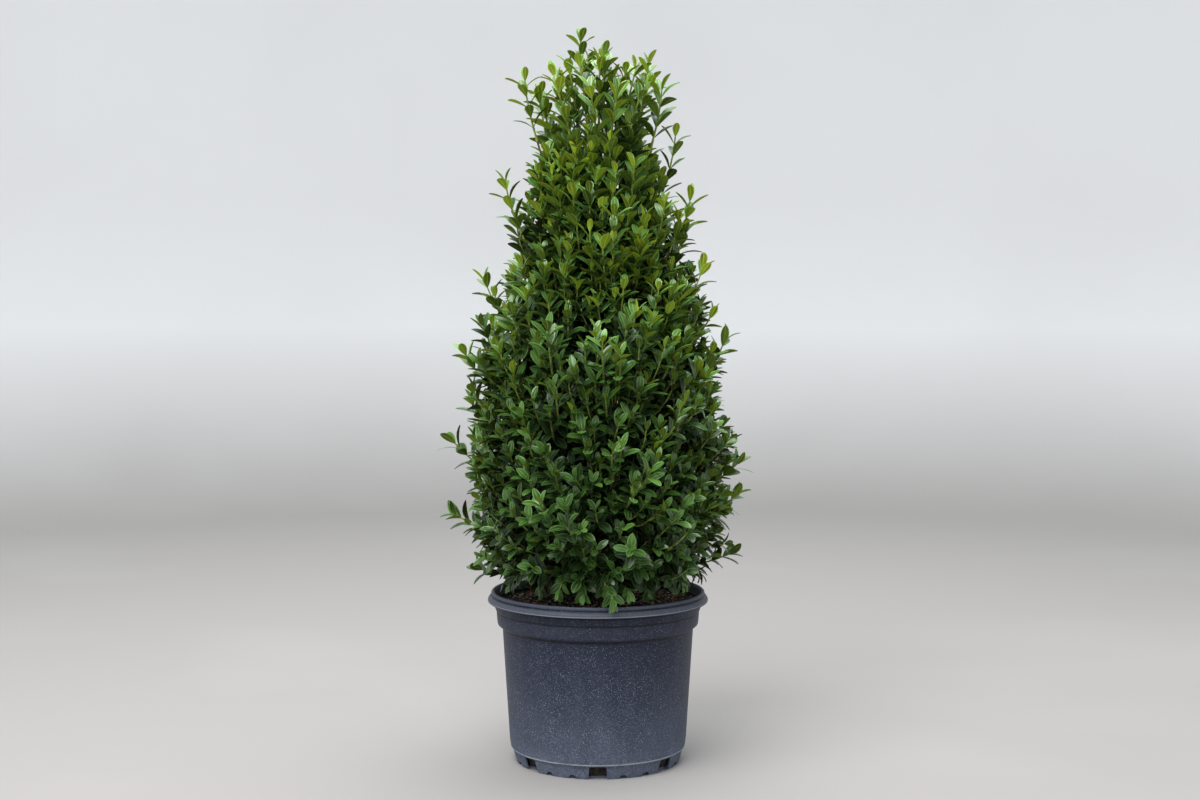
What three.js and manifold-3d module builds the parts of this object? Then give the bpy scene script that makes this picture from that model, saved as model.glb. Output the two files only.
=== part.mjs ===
// A boxwood shrub clipped to a tall cone, growing in a round plastic nursery pot.
//
// Millimetres, +Z up, the origin at the middle of the pot's flat underside.
//
// The crown grows as a fan. Every branch leaves the shrub's axis at some height, its root height,
// and rises outwards. The higher it leaves, the steeper it climbs: nearly level just over the
// soil, upright at the top. A place in the crown is given by root height, bearing and
// how far out along that branch it lies, and each mass of foliage owns a block of those three.
import * as THREE from "three";
import { mergeVertices } from "three/addons/utils/BufferGeometryUtils.js";
import Module from "manifold-3d";

const wasm = await Module();
wasm.setup();

const Z_AXIS = new THREE.Vector3(0, 0, 1);
const FULL_TURN = 2 * Math.PI;
const GAP = 0.3; // between pieces that touch
const SLIVER = 0.1; // corners that move the surface by less than this are dropped
const rad = THREE.MathUtils.degToRad;
const mix = THREE.MathUtils.lerp;

// ---------------------------------------------------------------- driving dimensions

const POT = {
  rimRadius: 140,
  height: 217.5,
  wall: 2.3,
  floor: 3,
  footRadius: 104.4,
  ledge: 18.6, // height of the lip over the foot ring
  sides: 32,
};
const DRAIN = { count: 7, width: 21, height: 17, depth: 16 };

const SOIL = { level: 203.5, crown: 2, edgeDrop: 2.5, flatRadius: 24 };

// The clipped outline: how far the shoot tips reach from the axis at each height.
const OUTLINE = [
  [206, 108], [232, 130], [262, 149], [300, 161], [345, 167], [395, 164], [445, 155], [520, 147],
  [590, 132], [660, 113], [730, 90], [770, 79], [810, 76], [850, 77], [880, 64], [902, 38], [910, 0],
];

// The fan: elevation of a branch against the height at which it leaves the axis.
const FAN = { low: 205.5, high: 820, lowAngle: 8, highAngle: 90, curve: 0.45 };

const TRUNK = {
  flareRadius: 17,
  flareShare: 0.1, // of its height
  radius: 11,
  tipRadius: 4.2,
  top: 476,
  sides: 10,
};
const TRUNK_RINGS = [0, 0.03, 0.09, 0.3, 0.55, 0.78, 1]; // shares of its height
const SWAY = { out: 3, turns: 3.6, back: 2.1, backTurns: 2.8 }; // how the trunk leans and sways back
const BUTTRESS = { count: 5, depth: 0.14 }; // the ribs of the root flare
const BOUGH = {
  share: 0.25, // of the trunk's radius where it leaves it
  least: 1.8,
  tipRadius: 2.6,
  end: 0.42, // how far out along its branch it enters its mass
  sag: 0.05,
  below: 6, // how far under its branch the lowest bough of a tier leaves the trunk
  stagger: 5,
  bend: 10, // length of the straight end
  sides: 5,
};

// Tiers of foliage from the bottom up: the root heights each one owns, how many masses stand
// round the stem in it, the bearing of the first and how many shoots each row of a mass has.
const TIERS = [
  { name: "skirt", from: 205.5, to: 240, masses: 6, turn: 12, rows: [3, 2] },
  { name: "lower", from: 240, to: 290, masses: 6, turn: 40, rows: [2, 3] },
  { name: "middle", from: 290, to: 370, masses: 5, turn: 5, rows: [3, 3, 3] },
  { name: "upper", from: 370, to: 480, masses: 4, turn: 33, rows: [3, 3, 3] },
];

// The core of a mass fills these shares of its block, with corners between round and square.
const CORE = { depth: 0.88, width: 0.97, square: 0.9, clear: 2, uneven: 0.05, points: 8, stemEnd: 0.72 };
// Its rings: how far out along the branch each lies, and its size against the widest.
const CORE_RINGS = [[0.46, 0.6], [0.55, 0.93], [0.75, 0.97], [0.83, 0.7]];

// The top mass stands on the trunk's tip. Its core stays inside the cone over the tier below.
const TOP = { from: 480, stemTop: 640, stemRadius: 3, clear: 5, sides: 12, share: 0.74 };
const TOP_CORE_RINGS = [[560, 0.5], [575, 0.9], [650, 1], [740, 0.97], [800, 0.85], [832, 0.4]];
// Shoots all round the top core: the heights of their tips, and how far they lean out of the fan.
const SIDE_SHOOTS = { count: 26, from: 640, to: 835, lean: 24, length: 56, size: 1 };
// Upright shoots over the top core. Root, knee and end lie at these shares of the tip's offset.
const UPRIGHTS = {
  count: 3, radius: 66, pairs: 3, size: 0.82, shares: [0.42, 0.76, 0.93],
  sink: 18, long: 60, knee: 100, tipInset: 0.8,
};

const SHOOT = {
  radius: 2,
  tipRadius: 1.2,
  root: 0.79, // shares of the reach where a leader's stem starts and bends
  knee: 0.87,
  sink: 22, // how deep its root sits in the core
  shortest: 12,
  tipInset: 0.45, // how far its end stays inside the outline, in leaf lengths
  varies: 10, // how much longer it may grow
  scatter: 7,
  upturn: 12,
  spacing: 0.92, // of the sector's width that a row takes up
  swing: 0.06,
};
// Leaves stand in opposite pairs. The first lies a little below the shoot's end, the next a pitch on.
const LEAF = {
  length: 50, width: 27, thick: 3, arch: 3, widest: 0.52, offset: 0.25, below: 4, pitch: 17, varies: 0.2,
};
const LEAF_ANGLES = { tip: 34, next: 56, varies: 10 }; // how far a pair stands off the shoot
const LEAF_CLEAR = 1.2; // a leaf's least distance from the next mass's space
const LEAF_SHARES = [1, 0.75]; // the sizes that a leaf is tried at, until it fits
const LEAF_BURIED = 0.5; // the share of a leaf that may lie in the core

// Long shoots that stand out of the clipped outline: [height, offset to the right, offset to the
// back] of the tip. They are what the shears missed, and they set the furthest reach.
const LEADERS = [
  [921, -25, 8], [908, 8, -20], [899, 66, 12], [880, -94, -10], [882, -48, 30], [868, 84, -24],
  [870, 30, 46], [856, -74, 34], [803, 99, 10], [722, 118, 8], [742, -117, 12], [636, 134, -14],
  [617, -155, 10], [545, 166, 16], [527, -177, -8], [413, -192, 6], [387, 183, -10],
  [345, 186, 14], [322, -189, -12], [267, 178, 10], [240, -158, -24],
  [700, 20, -118], [560, -60, -158], [392, 64, -176], [330, -40, -186],
  [760, -12, 112], [600, 58, 142], [470, -70, 158], [350, 30, 188], [420, 100, 160],
];
const LEADER = { pairs: 2, size: 0.86, tipInset: 0.62 };

const SEED = { tier: 97, sector: 17, first: 6, top: 4242 };
const SEARCH = { steps: 40, farthest: 700 }; // for the bisections below

// ---------------------------------------------------------------- small helpers

/** Seeded random numbers from 0 to 1. */
function randomFrom(seed) {
  let state = seed >>> 0;
  return () => {
    state = (state + 0x6d2b79f5) >>> 0;
    let t = Math.imul(state ^ (state >>> 15), 1 | state);
    t = (t + Math.imul(t ^ (t >>> 7), 61 | t)) ^ t;
    return ((t ^ (t >>> 14)) >>> 0) / 4294967296;
  };
}

/** A closed three.js geometry as a manifold-3d solid. */
function solidOf(geometry) {
  const bare = geometry.clone();
  bare.deleteAttribute("normal");
  bare.deleteAttribute("uv");
  const merged = mergeVertices(bare, 1e-3);
  return new wasm.Manifold(new wasm.Mesh({
    numProp: 3,
    vertProperties: merged.attributes.position.array,
    triVerts: new Uint32Array(merged.index.array),
  }));
}

/** A manifold-3d solid as a three.js geometry. */
function geometryOf(solid) {
  const made = solid.getMesh();
  return new THREE.BufferGeometry()
    .setAttribute("position", new THREE.BufferAttribute(made.vertProperties, 3))
    .setIndex(new THREE.BufferAttribute(made.triVerts, 1));
}

/** The largest body of a solid, without its loose scraps. */
function largestBody(solid) {
  return solid.decompose().sort((a, b) => b.volume() - a.volume())[0];
}

/** A closed skin over a row of convex rings that have equally many points, flat at both ends. */
function loft(rings) {
  const count = rings[0].length;
  const lastRow = (rings.length - 1) * count;
  const faces = [];
  for (let i = 0; i < lastRow; i += count) {
    for (let j = 0; j < count; j++) {
      const a = i + j;
      const b = i + ((j + 1) % count);
      faces.push(a, b, a + count, b, b + count, a + count);
    }
  }
  for (let j = 1; j + 1 < count; j++) {
    faces.push(0, j + 1, j);
    faces.push(lastRow, lastRow + j, lastRow + j + 1);
  }
  return new THREE.BufferGeometry().setFromPoints(rings.flat()).setIndex(faces);
}

/** Two unit vectors square to a direction and to each other. */
function squareTo(direction) {
  const hint = Math.abs(direction.z) < 0.9 ? Z_AXIS : new THREE.Vector3(1, 0, 0);
  const side = new THREE.Vector3().crossVectors(direction, hint).normalize();
  return [side, new THREE.Vector3().crossVectors(direction, side)];
}

/** A tapering limb through points, each with its own radius, turned about itself by a twist. */
function limb(points, radii, sides, twist = 0) {
  const rings = points.map((point, i) => {
    const before = points[Math.max(i - 1, 0)];
    const after = points[Math.min(i + 1, points.length - 1)];
    const along = after.clone().sub(before).normalize();
    const [side, other] = squareTo(along);
    return Array.from({ length: sides }, (_, k) => {
      const turn = twist + (FULL_TURN * k) / sides;
      return point.clone()
        .addScaledVector(side, radii[i] * Math.cos(turn))
        .addScaledVector(other, radii[i] * Math.sin(turn));
    });
  });
  return loft(rings);
}

// ---------------------------------------------------------------- the crown's fan

/** Radius of the clipped outline at a height. */
function outlineAt(height) {
  const next = OUTLINE.findIndex(([z]) => z >= height);
  if (next === -1) return 0;
  if (next === 0) return OUTLINE[0][1];
  const [z0, r0] = OUTLINE[next - 1];
  const [z1, r1] = OUTLINE[next];
  return mix(r0, r1, (height - z0) / (z1 - z0));
}

/** Height of the outline's cap over a radius near the top. */
function outlineTopAt(radius) {
  const last = OUTLINE.findLastIndex(([, r]) => r >= radius);
  const [z0, r0] = OUTLINE[last];
  const [z1, r1] = OUTLINE[last + 1];
  return mix(z0, z1, (r0 - radius) / (r0 - r1));
}

/** Elevation, in radians, of the branch that leaves the axis at a root height. */
function elevationAt(root) {
  const share = THREE.MathUtils.clamp((root - FAN.low) / (FAN.high - FAN.low), 0, 1);
  return rad(mix(FAN.lowAngle, FAN.highAngle, share ** FAN.curve));
}

/** The root height of the branch that passes through a radius and height. */
function rootOf(radius, height) {
  let low = FAN.low;
  let high = FAN.high;
  for (let i = 0; i < SEARCH.steps; i++) {
    const middle = (low + high) / 2;
    const angle = elevationAt(middle);
    if (middle * Math.cos(angle) + radius * Math.sin(angle) < height * Math.cos(angle)) low = middle;
    else high = middle;
  }
  return (low + high) / 2;
}

/** The distance along a branch from the axis to the clipped outline. */
function reachOf(root) {
  const angle = elevationAt(root);
  let low = 0;
  let high = SEARCH.farthest;
  for (let i = 0; i < SEARCH.steps; i++) {
    const middle = (low + high) / 2;
    if (middle * Math.cos(angle) < outlineAt(root + middle * Math.sin(angle))) low = middle;
    else high = middle;
  }
  return (low + high) / 2;
}

/** A unit vector at an elevation and a bearing. */
function directionOf(elevation, bearing) {
  const level = Math.cos(elevation);
  return new THREE.Vector3(level * Math.cos(bearing), level * Math.sin(bearing), Math.sin(elevation));
}

/** The point on a branch at a share of its reach, and some millimetres more. */
function onBranch(root, bearing, share, more = 0) {
  return directionOf(elevationAt(root), bearing)
    .multiplyScalar(reachOf(root) * share + more)
    .add(new THREE.Vector3(0, 0, root));
}

/** Height of the cone that the branches of one root height lie on, at a radius. */
function coneHeight(root, radius) {
  return root + radius * Math.tan(elevationAt(root));
}

/** The middle branch of one mass of a tier and half the angle of its sector. */
function blockOf(tier, sector) {
  return {
    root: (tier.from + tier.to) / 2,
    bearing: rad(tier.turn) + (FULL_TURN * sector) / tier.masses,
    half: Math.PI / tier.masses,
  };
}

// ---------------------------------------------------------------- stem and boughs

/** The trunk's centre at a height: it leans a little and sways back. */
function trunkCentre(height) {
  const share = (height - SOIL.level) / (TRUNK.top - SOIL.level);
  return new THREE.Vector3(
    SWAY.out * Math.sin(share * SWAY.turns),
    SWAY.back * (Math.cos(share * SWAY.backTurns) - 1),
    height,
  );
}

/** The trunk's radius at a height, with the root flare over the soil. */
function trunkRadius(height) {
  const share = (height - SOIL.level) / (TRUNK.top - SOIL.level);
  const flare = Math.max(0, 1 - share / TRUNK.flareShare);
  return mix(TRUNK.radius, TRUNK.tipRadius, share) + (TRUNK.flareRadius - TRUNK.radius) * flare ** 2;
}

/** The trunk, from its flat cut on the soil through the root flare to its tip. */
function trunkSolid(extra = 0) {
  const foot = SOIL.level + SOIL.crown + GAP;
  return solidOf(loft(TRUNK_RINGS.map((share) => {
    const centre = trunkCentre(mix(foot, TRUNK.top, share));
    const buttress = BUTTRESS.depth * Math.max(0, 1 - share / TRUNK.flareShare);
    return Array.from({ length: TRUNK.sides }, (_, k) => {
      const turn = (FULL_TURN * k) / TRUNK.sides;
      const radius = (trunkRadius(centre.z) + extra) * (1 + buttress * Math.cos(turn * BUTTRESS.count));
      return directionOf(0, turn).multiplyScalar(radius).add(centre);
    });
  })));
}

/**
 * One bough, from the trunk's side to where it enters its mass. It sags a little on its way and
 * ends along its branch of the fan. Neighbours leave the trunk at staggered heights.
 */
function boughSolid(tier, sector, trunkRoom) {
  const { root, bearing } = blockOf(tier, sector);
  const step = (sector * (tier.masses - 2)) % tier.masses;
  const start = trunkCentre(root - BOUGH.below + BOUGH.stagger * step);
  const baseRadius = trunkRadius(start.z) * BOUGH.share + BOUGH.least;
  const bend = onBranch(root, bearing, BOUGH.end, -BOUGH.bend);
  const points = [0, 0.5, 1].map((s) => {
    const point = start.clone().lerp(bend, s);
    point.z -= BOUGH.sag * bend.distanceTo(start) * Math.sin(Math.PI * s);
    return point;
  });
  points.push(onBranch(root, bearing, BOUGH.end));
  const radii = points.map((_, i) => mix(baseRadius, BOUGH.tipRadius, Math.min(i / 2, 1)));
  return largestBody(solidOf(limb(points, radii, BOUGH.sides)).subtract(trunkRoom));
}

// ---------------------------------------------------------------- shoots and leaves

/** Corners of one leaf: its stalk end and tip, and round its widest part two edges and a keel. */
function leafCorners(stalk, along, across, size) {
  const face = new THREE.Vector3().crossVectors(across, along);
  const at = (length, sideways, up) => stalk.clone()
    .addScaledVector(along, length * size)
    .addScaledVector(across, sideways * size)
    .addScaledVector(face, up * size);
  const middle = LEAF.length * LEAF.widest;
  return {
    stalk,
    tip: at(LEAF.length, 0, -LEAF.arch),
    edges: [at(middle, -LEAF.width / 2, 0), at(middle, LEAF.width / 2, 0)],
    keel: at(middle, 0, -LEAF.thick),
  };
}

/** A leaf of six faces: flat and a little arched above, keeled along the midrib below. */
function leafSolid({ stalk, tip, edges, keel }) {
  const points = [stalk, tip, edges[0], edges[1], keel];
  const index = [2, 3, 4].flatMap((a, i, around) => {
    const b = around[(i + 1) % 3];
    return [0, b, a, 1, a, b];
  });
  return solidOf(new THREE.BufferGeometry().setFromPoints(points).setIndex(index));
}

/** The shoots and leaves that one mass grows inside its own room. */
class Foliage {
  constructor(seed, room, coreOf) {
    this.random = randomFrom(seed);
    this.room = room;
    this.core = coreOf(this.random);
    this.solids = [];
    this.leaves = [];
  }

  /** Whether a leaf lies over one that another shoot already bears. */
  crowded(leaf, middle, shoot) {
    return this.leaves.some((other) => other.shoot !== shoot
      && other.middle.distanceTo(middle) < LEAF.length
      && other.solid.intersect(leaf).volume() > 0);
  }

  /**
   * One shoot: its stem along a path from inside the core to its tip, with opposite leaves. The
   * stem is four-sided, each pair of leaves on two opposite sides and the next pair on the others.
   */
  addShoot(path, pairs, size) {
    const { random } = this;
    const [knee, tip] = path.slice(-2);
    const radii = path.map(() => SHOOT.radius).fill(SHOOT.tipRadius, -1);
    const twist = random() * Math.PI;
    const stem = solidOf(limb(path, radii, 4, twist));
    const along = tip.clone().sub(knee).normalize();
    const [side, other] = squareTo(along);
    for (let pair = 0; pair < pairs; pair++) {
      const joint = tip.clone().addScaledVector(along, -LEAF.below - pair * LEAF.pitch * size);
      const angle = pair === 0 ? LEAF_ANGLES.tip : LEAF_ANGLES.next;
      const open = rad(angle + LEAF_ANGLES.varies * (random() - 0.5));
      for (const facing of [0, Math.PI]) {
        const turn = twist + Math.PI / 4 + (pair * Math.PI) / 2 + facing;
        const outwards = side.clone().multiplyScalar(Math.cos(turn))
          .addScaledVector(other, Math.sin(turn));
        const across = new THREE.Vector3().crossVectors(along, outwards);
        const leafAlong = along.clone().multiplyScalar(Math.cos(open))
          .addScaledVector(outwards, Math.sin(open));
        const stalk = joint.clone().addScaledVector(outwards, LEAF.offset);
        const leafSize = size * (1 + LEAF.varies * (random() - 0.5));
        LEAF_SHARES.some((share) => (
          this.addLeaf(leafCorners(stalk, leafAlong, across, leafSize * share), stem)));
      }
    }
    this.solids.push(stem);
  }

  /**
   * Adds one leaf of a shoot and says whether it could: not where it would leave the room, lie in
   * the core or cross a leaf of another shoot.
   */
  addLeaf(corners, shoot) {
    const { tip, edges } = corners;
    const tested = [tip, ...edges, tip.clone().lerp(edges[0], 0.5), tip.clone().lerp(edges[1], 0.5)];
    if (!tested.every(this.room)) return false;
    const solid = leafSolid(corners);
    if (solid.intersect(this.core).volume() > LEAF_BURIED * solid.volume()) return false;
    const middle = edges[0].clone().lerp(edges[1], 0.5);
    if (this.crowded(solid, middle, shoot)) return false;
    this.leaves.push({ solid, middle, shoot });
    return true;
  }

  /** A long shoot that stands out of the outline, up to its tip. */
  addLeader([z, x, y]) {
    const bearing = Math.atan2(y, x);
    const root = rootOf(Math.hypot(x, y), z);
    const tip = new THREE.Vector3(x, y, z)
      .addScaledVector(directionOf(elevationAt(root), bearing), -LEAF.length * LEADER.tipInset);
    const path = [onBranch(root, bearing, SHOOT.root), onBranch(root, bearing, SHOOT.knee), tip];
    this.addShoot(path, LEADER.pairs, LEADER.size);
  }

  /** The core, shoots and leaves joined to a mass's stem as one body. */
  fusedWith(stem) {
    const parts = [this.core, stem, ...this.solids, ...this.leaves.map(({ solid }) => solid)];
    return largestBody(largestBody(wasm.Manifold.union(parts)).simplify(SLIVER));
  }
}

// ---------------------------------------------------------------- masses

/** The place of a leader's tip. */
function placeOf([z, x, y]) {
  return new THREE.Vector3(x, y, z);
}

/** Whether a point keeps clear of the cones below and above a tier and of the sector's sides. */
function roomOf(tier, middle, half) {
  return (point) => {
    const radius = Math.hypot(point.x, point.y);
    const turned = Math.atan2(point.y, point.x) - middle;
    const aside = Math.abs(Math.atan2(Math.sin(turned), Math.cos(turned)));
    const sideRoom = radius * Math.sin(half - aside);
    const steepLow = Math.cos(elevationAt(tier.from));
    const steepHigh = Math.cos(elevationAt(tier.to));
    return aside < half && sideRoom > LEAF_CLEAR
      && (point.z - coneHeight(tier.from, radius)) * steepLow > LEAF_CLEAR
      && (coneHeight(tier.to, radius) - point.z) * steepHigh > LEAF_CLEAR * 2;
  };
}

/** The dense inside of a mass: a rounded block of the fan, a little uneven. */
function coreSolid(tier, middle, half, random) {
  const rootMiddle = (tier.from + tier.to) / 2;
  const rootHalf = (CORE.depth * (tier.to - tier.from)) / 2;
  const ringAt = ([share, size]) => Array.from({ length: CORE.points }, (_, k) => {
    const turn = (FULL_TURN * (k + 0.5)) / CORE.points;
    const square = Math.max(Math.abs(Math.cos(turn)), Math.abs(Math.sin(turn))) ** CORE.square;
    const root = rootMiddle + (rootHalf * size * Math.sin(turn)) / square;
    const radius = reachOf(root) * share * Math.cos(elevationAt(root));
    const aside = CORE.width * (half * size - CORE.clear / radius);
    const bearing = middle + (aside * Math.cos(turn)) / square;
    return onBranch(root, bearing, share * mix(1 - CORE.uneven, 1 + CORE.uneven, random()));
  });
  return solidOf(loft(CORE_RINGS.map(ringAt)));
}

/** How far short of the outline a stem ends, so that its leaves reach the outline. */
function tipInset(random) {
  return LEAF.length * SHOOT.tipInset - SHOOT.varies * random();
}

/** One mass of a tier: stem, core, shoots in staggered rows and the leaders that fall in it. */
function massSolid(tier, sector) {
  const { root, bearing: middle, half } = blockOf(tier, sector);
  const seed = SEED.tier * TIERS.indexOf(tier) + SEED.sector * sector + SEED.first;
  const foliage = new Foliage(seed, roomOf(tier, middle, half), (random) => (
    coreSolid(tier, middle, half, random)));
  const { random, room } = foliage;
  const stem = [onBranch(root, middle, BOUGH.end, GAP), onBranch(root, middle, CORE.stemEnd)];
  for (const leader of LEADERS) {
    if (room(placeOf(leader))) foliage.addLeader(leader);
  }
  const bottom = onBranch(tier.from, middle, 1).z;
  const top = onBranch(tier.to, middle, 1).z;
  tier.rows.forEach((count, row) => {
    for (let column = 0; column < count; column++) {
      const z = mix(bottom, top, (row + 0.5) / tier.rows.length) + SHOOT.scatter * (2 * random() - 1);
      const place = SHOOT.spacing * (((column + 0.5) / count) * 2 - 1);
      const aside = half * place + SHOOT.swing * (random() - 0.5);
      const shootRoot = rootOf(outlineAt(z), z);
      const knee = onBranch(shootRoot, middle + aside, SHOOT.knee);
      const length = reachOf(shootRoot) * (1 - SHOOT.knee) - tipInset(random);
      const out = directionOf(elevationAt(shootRoot) + rad(SHOOT.upturn * random()), middle + aside);
      const tip = knee.clone().addScaledVector(out, Math.max(length, SHOOT.shortest));
      foliage.addShoot([knee.addScaledVector(out, -SHOOT.sink), tip], 2, 1);
    }
  });
  const radii = [BOUGH.tipRadius, BOUGH.tipRadius * 0.8];
  return foliage.fusedWith(solidOf(limb(stem, radii, BOUGH.sides)));
}

/** The core of the top mass: a turned cone inside the cone that the tier below ends at. */
function topCore(random) {
  const ringAt = ([height, share]) => {
    const widest = (height - TOP.from) / Math.tan(elevationAt(TOP.from)) - TOP.clear;
    const radius = Math.min(outlineAt(height) * TOP.share, widest) * share;
    return Array.from({ length: TOP.sides }, (_, k) => {
      const turn = (FULL_TURN * k) / TOP.sides;
      const uneven = radius * mix(1 - 2 * CORE.uneven, 1, random());
      return new THREE.Vector3(uneven * Math.cos(turn), uneven * Math.sin(turn), height);
    });
  };
  return solidOf(loft(TOP_CORE_RINGS.map(ringAt)));
}

/** The mass at the top: it stands on the trunk's tip, with upright shoots over its core. */
function topSolid() {
  const steep = Math.cos(elevationAt(TOP.from));
  const foliage = new Foliage(SEED.top, (point) => {
    const below = coneHeight(TOP.from, Math.hypot(point.x, point.y));
    return (point.z - below) * steep > LEAF_CLEAR;
  }, topCore);
  const { random, room } = foliage;
  const golden = Math.PI * (3 - Math.sqrt(5));
  const tips = LEADERS.map(placeOf).filter(room);
  for (let i = 0; i < UPRIGHTS.count; i++) {
    const radius = UPRIGHTS.radius * Math.sqrt((i + 0.4) / UPRIGHTS.count);
    tips.push(directionOf(0, i * golden + 1).multiplyScalar(radius)
      .setZ(outlineTopAt(radius) + SHOOT.scatter * (2 * random() - 1)));
  }
  const coreTop = TOP_CORE_RINGS.at(-1)[0];
  for (const tip of tips) {
    const rootHeight = Math.min(coreTop - UPRIGHTS.sink, tip.z - UPRIGHTS.long);
    const endHeight = tip.z - LEAF.length * UPRIGHTS.size * UPRIGHTS.tipInset;
    const kneeHeight = Math.max(rootHeight + UPRIGHTS.sink, tip.z - UPRIGHTS.knee);
    const path = [rootHeight, kneeHeight, endHeight]
      .map((height, k) => tip.clone().multiplyScalar(UPRIGHTS.shares[k]).setZ(height));
    foliage.addShoot(path, UPRIGHTS.pairs, UPRIGHTS.size);
  }
  for (let i = 0; i < SIDE_SHOOTS.count; i++) {
    const height = mix(SIDE_SHOOTS.from, SIDE_SHOOTS.to, (i + 0.5) / SIDE_SHOOTS.count);
    const elevation = elevationAt(rootOf(outlineAt(height), height)) - rad(SIDE_SHOOTS.lean);
    const out = directionOf(elevation, i * golden);
    const end = directionOf(0, i * golden).multiplyScalar(outlineAt(height)).setZ(height)
      .addScaledVector(out, -tipInset(random));
    const root = end.clone().addScaledVector(out, -SIDE_SHOOTS.length);
    foliage.addShoot([root, end], 2, SIDE_SHOOTS.size);
  }
  const stemFoot = trunkCentre(TRUNK.top).add(new THREE.Vector3(0, 0, GAP));
  const stemTop = new THREE.Vector3(0, 0, TOP.stemTop);
  const stem = limb([stemFoot, stemTop], [TRUNK.tipRadius, TOP.stemRadius], BOUGH.sides);
  return foliage.fusedWith(solidOf(stem));
}

// ---------------------------------------------------------------- pot and soil

/** The pot's outside, from the foot ring up over the rim, as [radius, height]. */
function potOutside() {
  const rim = POT.rimRadius;
  const top = POT.height;
  return [
    [POT.footRadius - 1.2, 0], [POT.footRadius, 1.2], [109.2, POT.ledge - 1], [110.9, POT.ledge],
    [113, 35], [121.4, 170], [122, 171.5], [127.6, 176.5], [129.2, 191], [131.2, 197],
    [rim - 2.4, 204.2], [rim, 206.5], [rim - 1.2, 210], [rim - 3.3, 211.2], [rim - 3.2, top - 1.6],
    [rim - 6, top],
  ];
}

/** The pot's inside, from the floor's edge up to the rim, as [radius, height]. */
function potInside() {
  const wall = POT.wall;
  return [
    [103.4 - wall, POT.floor], [112.9 - wall, 36], [121.2 - wall, 171], [126.8 - wall, 178],
    [130.8 - wall, 200], [POT.rimRadius - 8.6, 213.5],
  ];
}

/** A lathe about the vertical through [radius, height] points from axis to axis. */
function turned(profile, sides) {
  const points = profile.map(([radius, height]) => new THREE.Vector2(radius, height));
  return solidOf(new THREE.LatheGeometry(points, sides).rotateX(Math.PI / 2));
}

/** A block that reaches from under the pot through the foot of its wall at a bearing. */
function drainCutter(bearing) {
  const under = 2;
  const block = new THREE.BoxGeometry(DRAIN.depth, DRAIN.width, DRAIN.height + under);
  block.translate(POT.footRadius + 8 - DRAIN.depth / 2, 0, (DRAIN.height - under) / 2);
  return solidOf(block.rotateZ(bearing));
}

/** The pot: a turned shell with drain holes through the foot of its wall. */
function potSolid() {
  const shell = turned([[0, 0], ...potOutside(), ...potInside().reverse(), [0, POT.floor]], POT.sides);
  return Array.from({ length: DRAIN.count }, (_, i) => -Math.PI / 2 + (FULL_TURN * i) / DRAIN.count)
    .reduce((pot, bearing) => pot.subtract(drainCutter(bearing)), shell);
}

/** The potting soil: it fills the pot to a gap under the rim and rises a little to the stem. */
function soilSolid() {
  const inside = potInside().filter(([, height]) => height < SOIL.level - 2)
    .map(([radius, height]) => [radius - GAP * 1.2, height]);
  inside[0][1] += GAP;
  const crown = SOIL.level + SOIL.crown;
  return turned([
    [0, POT.floor + GAP], ...inside,
    [inside.at(-1)[0] + 0.3, SOIL.level - SOIL.edgeDrop],
    [80, SOIL.level + 0.4], [SOIL.flatRadius, crown], [0, crown],
  ], POT.sides);
}

// ---------------------------------------------------------------- assembly

const MATERIALS = {
  plastic: new THREE.MeshStandardMaterial({ color: 0x3c414e, roughness: 0.55, metalness: 0 }),
  soil: new THREE.MeshStandardMaterial({ color: 0x2a211b, roughness: 0.95, metalness: 0 }),
  bark: new THREE.MeshStandardMaterial({ color: 0x6f6047, roughness: 0.9, metalness: 0 }),
  foliage: new THREE.MeshStandardMaterial({ color: 0x35561b, roughness: 0.5, metalness: 0 }),
};

const shrub = new THREE.Group();

/** Adds one named piece to the shrub. */
function add(name, solid, material) {
  const mesh = new THREE.Mesh(geometryOf(solid), material);
  mesh.name = name;
  shrub.add(mesh);
}

add("pot", potSolid(), MATERIALS.plastic);
add("potting_soil", soilSolid(), MATERIALS.soil);
add("trunk", trunkSolid(), MATERIALS.bark);

const trunkRoom = trunkSolid(GAP);
for (const tier of TIERS) {
  for (let sector = 0; sector < tier.masses; sector++) {
    add(`${tier.name}_bough_${sector + 1}`, boughSolid(tier, sector, trunkRoom), MATERIALS.bark);
    add(`${tier.name}_foliage_${sector + 1}`, massSolid(tier, sector), MATERIALS.foliage);
  }
}
add("top_foliage", topSolid(), MATERIALS.foliage);

export default shrub;
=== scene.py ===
"""The looks of a boxwood shrub clipped to a tall cone, growing in a round nursery pot.

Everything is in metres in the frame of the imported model: +Z up, the origin at the middle of the
pot's flat underside, the viewer on the -Y side. The crown grows as a fan: every branch leaves the
shrub's axis at a root height and climbs the steeper, the higher it leaves.
"""

import logging
import math
from collections.abc import Callable
from dataclasses import dataclass, field
from enum import Enum

import bpy
import numpy as np
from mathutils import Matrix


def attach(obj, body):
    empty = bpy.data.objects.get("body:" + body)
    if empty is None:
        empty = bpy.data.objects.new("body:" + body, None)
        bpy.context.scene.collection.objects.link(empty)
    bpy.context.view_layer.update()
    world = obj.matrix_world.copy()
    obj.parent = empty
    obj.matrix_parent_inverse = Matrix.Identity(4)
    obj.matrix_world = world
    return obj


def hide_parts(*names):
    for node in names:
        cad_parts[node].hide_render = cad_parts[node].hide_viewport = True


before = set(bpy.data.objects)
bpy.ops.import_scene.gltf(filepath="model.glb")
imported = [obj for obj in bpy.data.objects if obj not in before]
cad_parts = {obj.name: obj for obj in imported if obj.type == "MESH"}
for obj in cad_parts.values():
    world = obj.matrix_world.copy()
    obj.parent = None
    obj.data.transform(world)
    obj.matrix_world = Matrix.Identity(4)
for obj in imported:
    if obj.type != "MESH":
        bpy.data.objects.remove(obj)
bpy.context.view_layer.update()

log = logging.getLogger("topiary")

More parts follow.
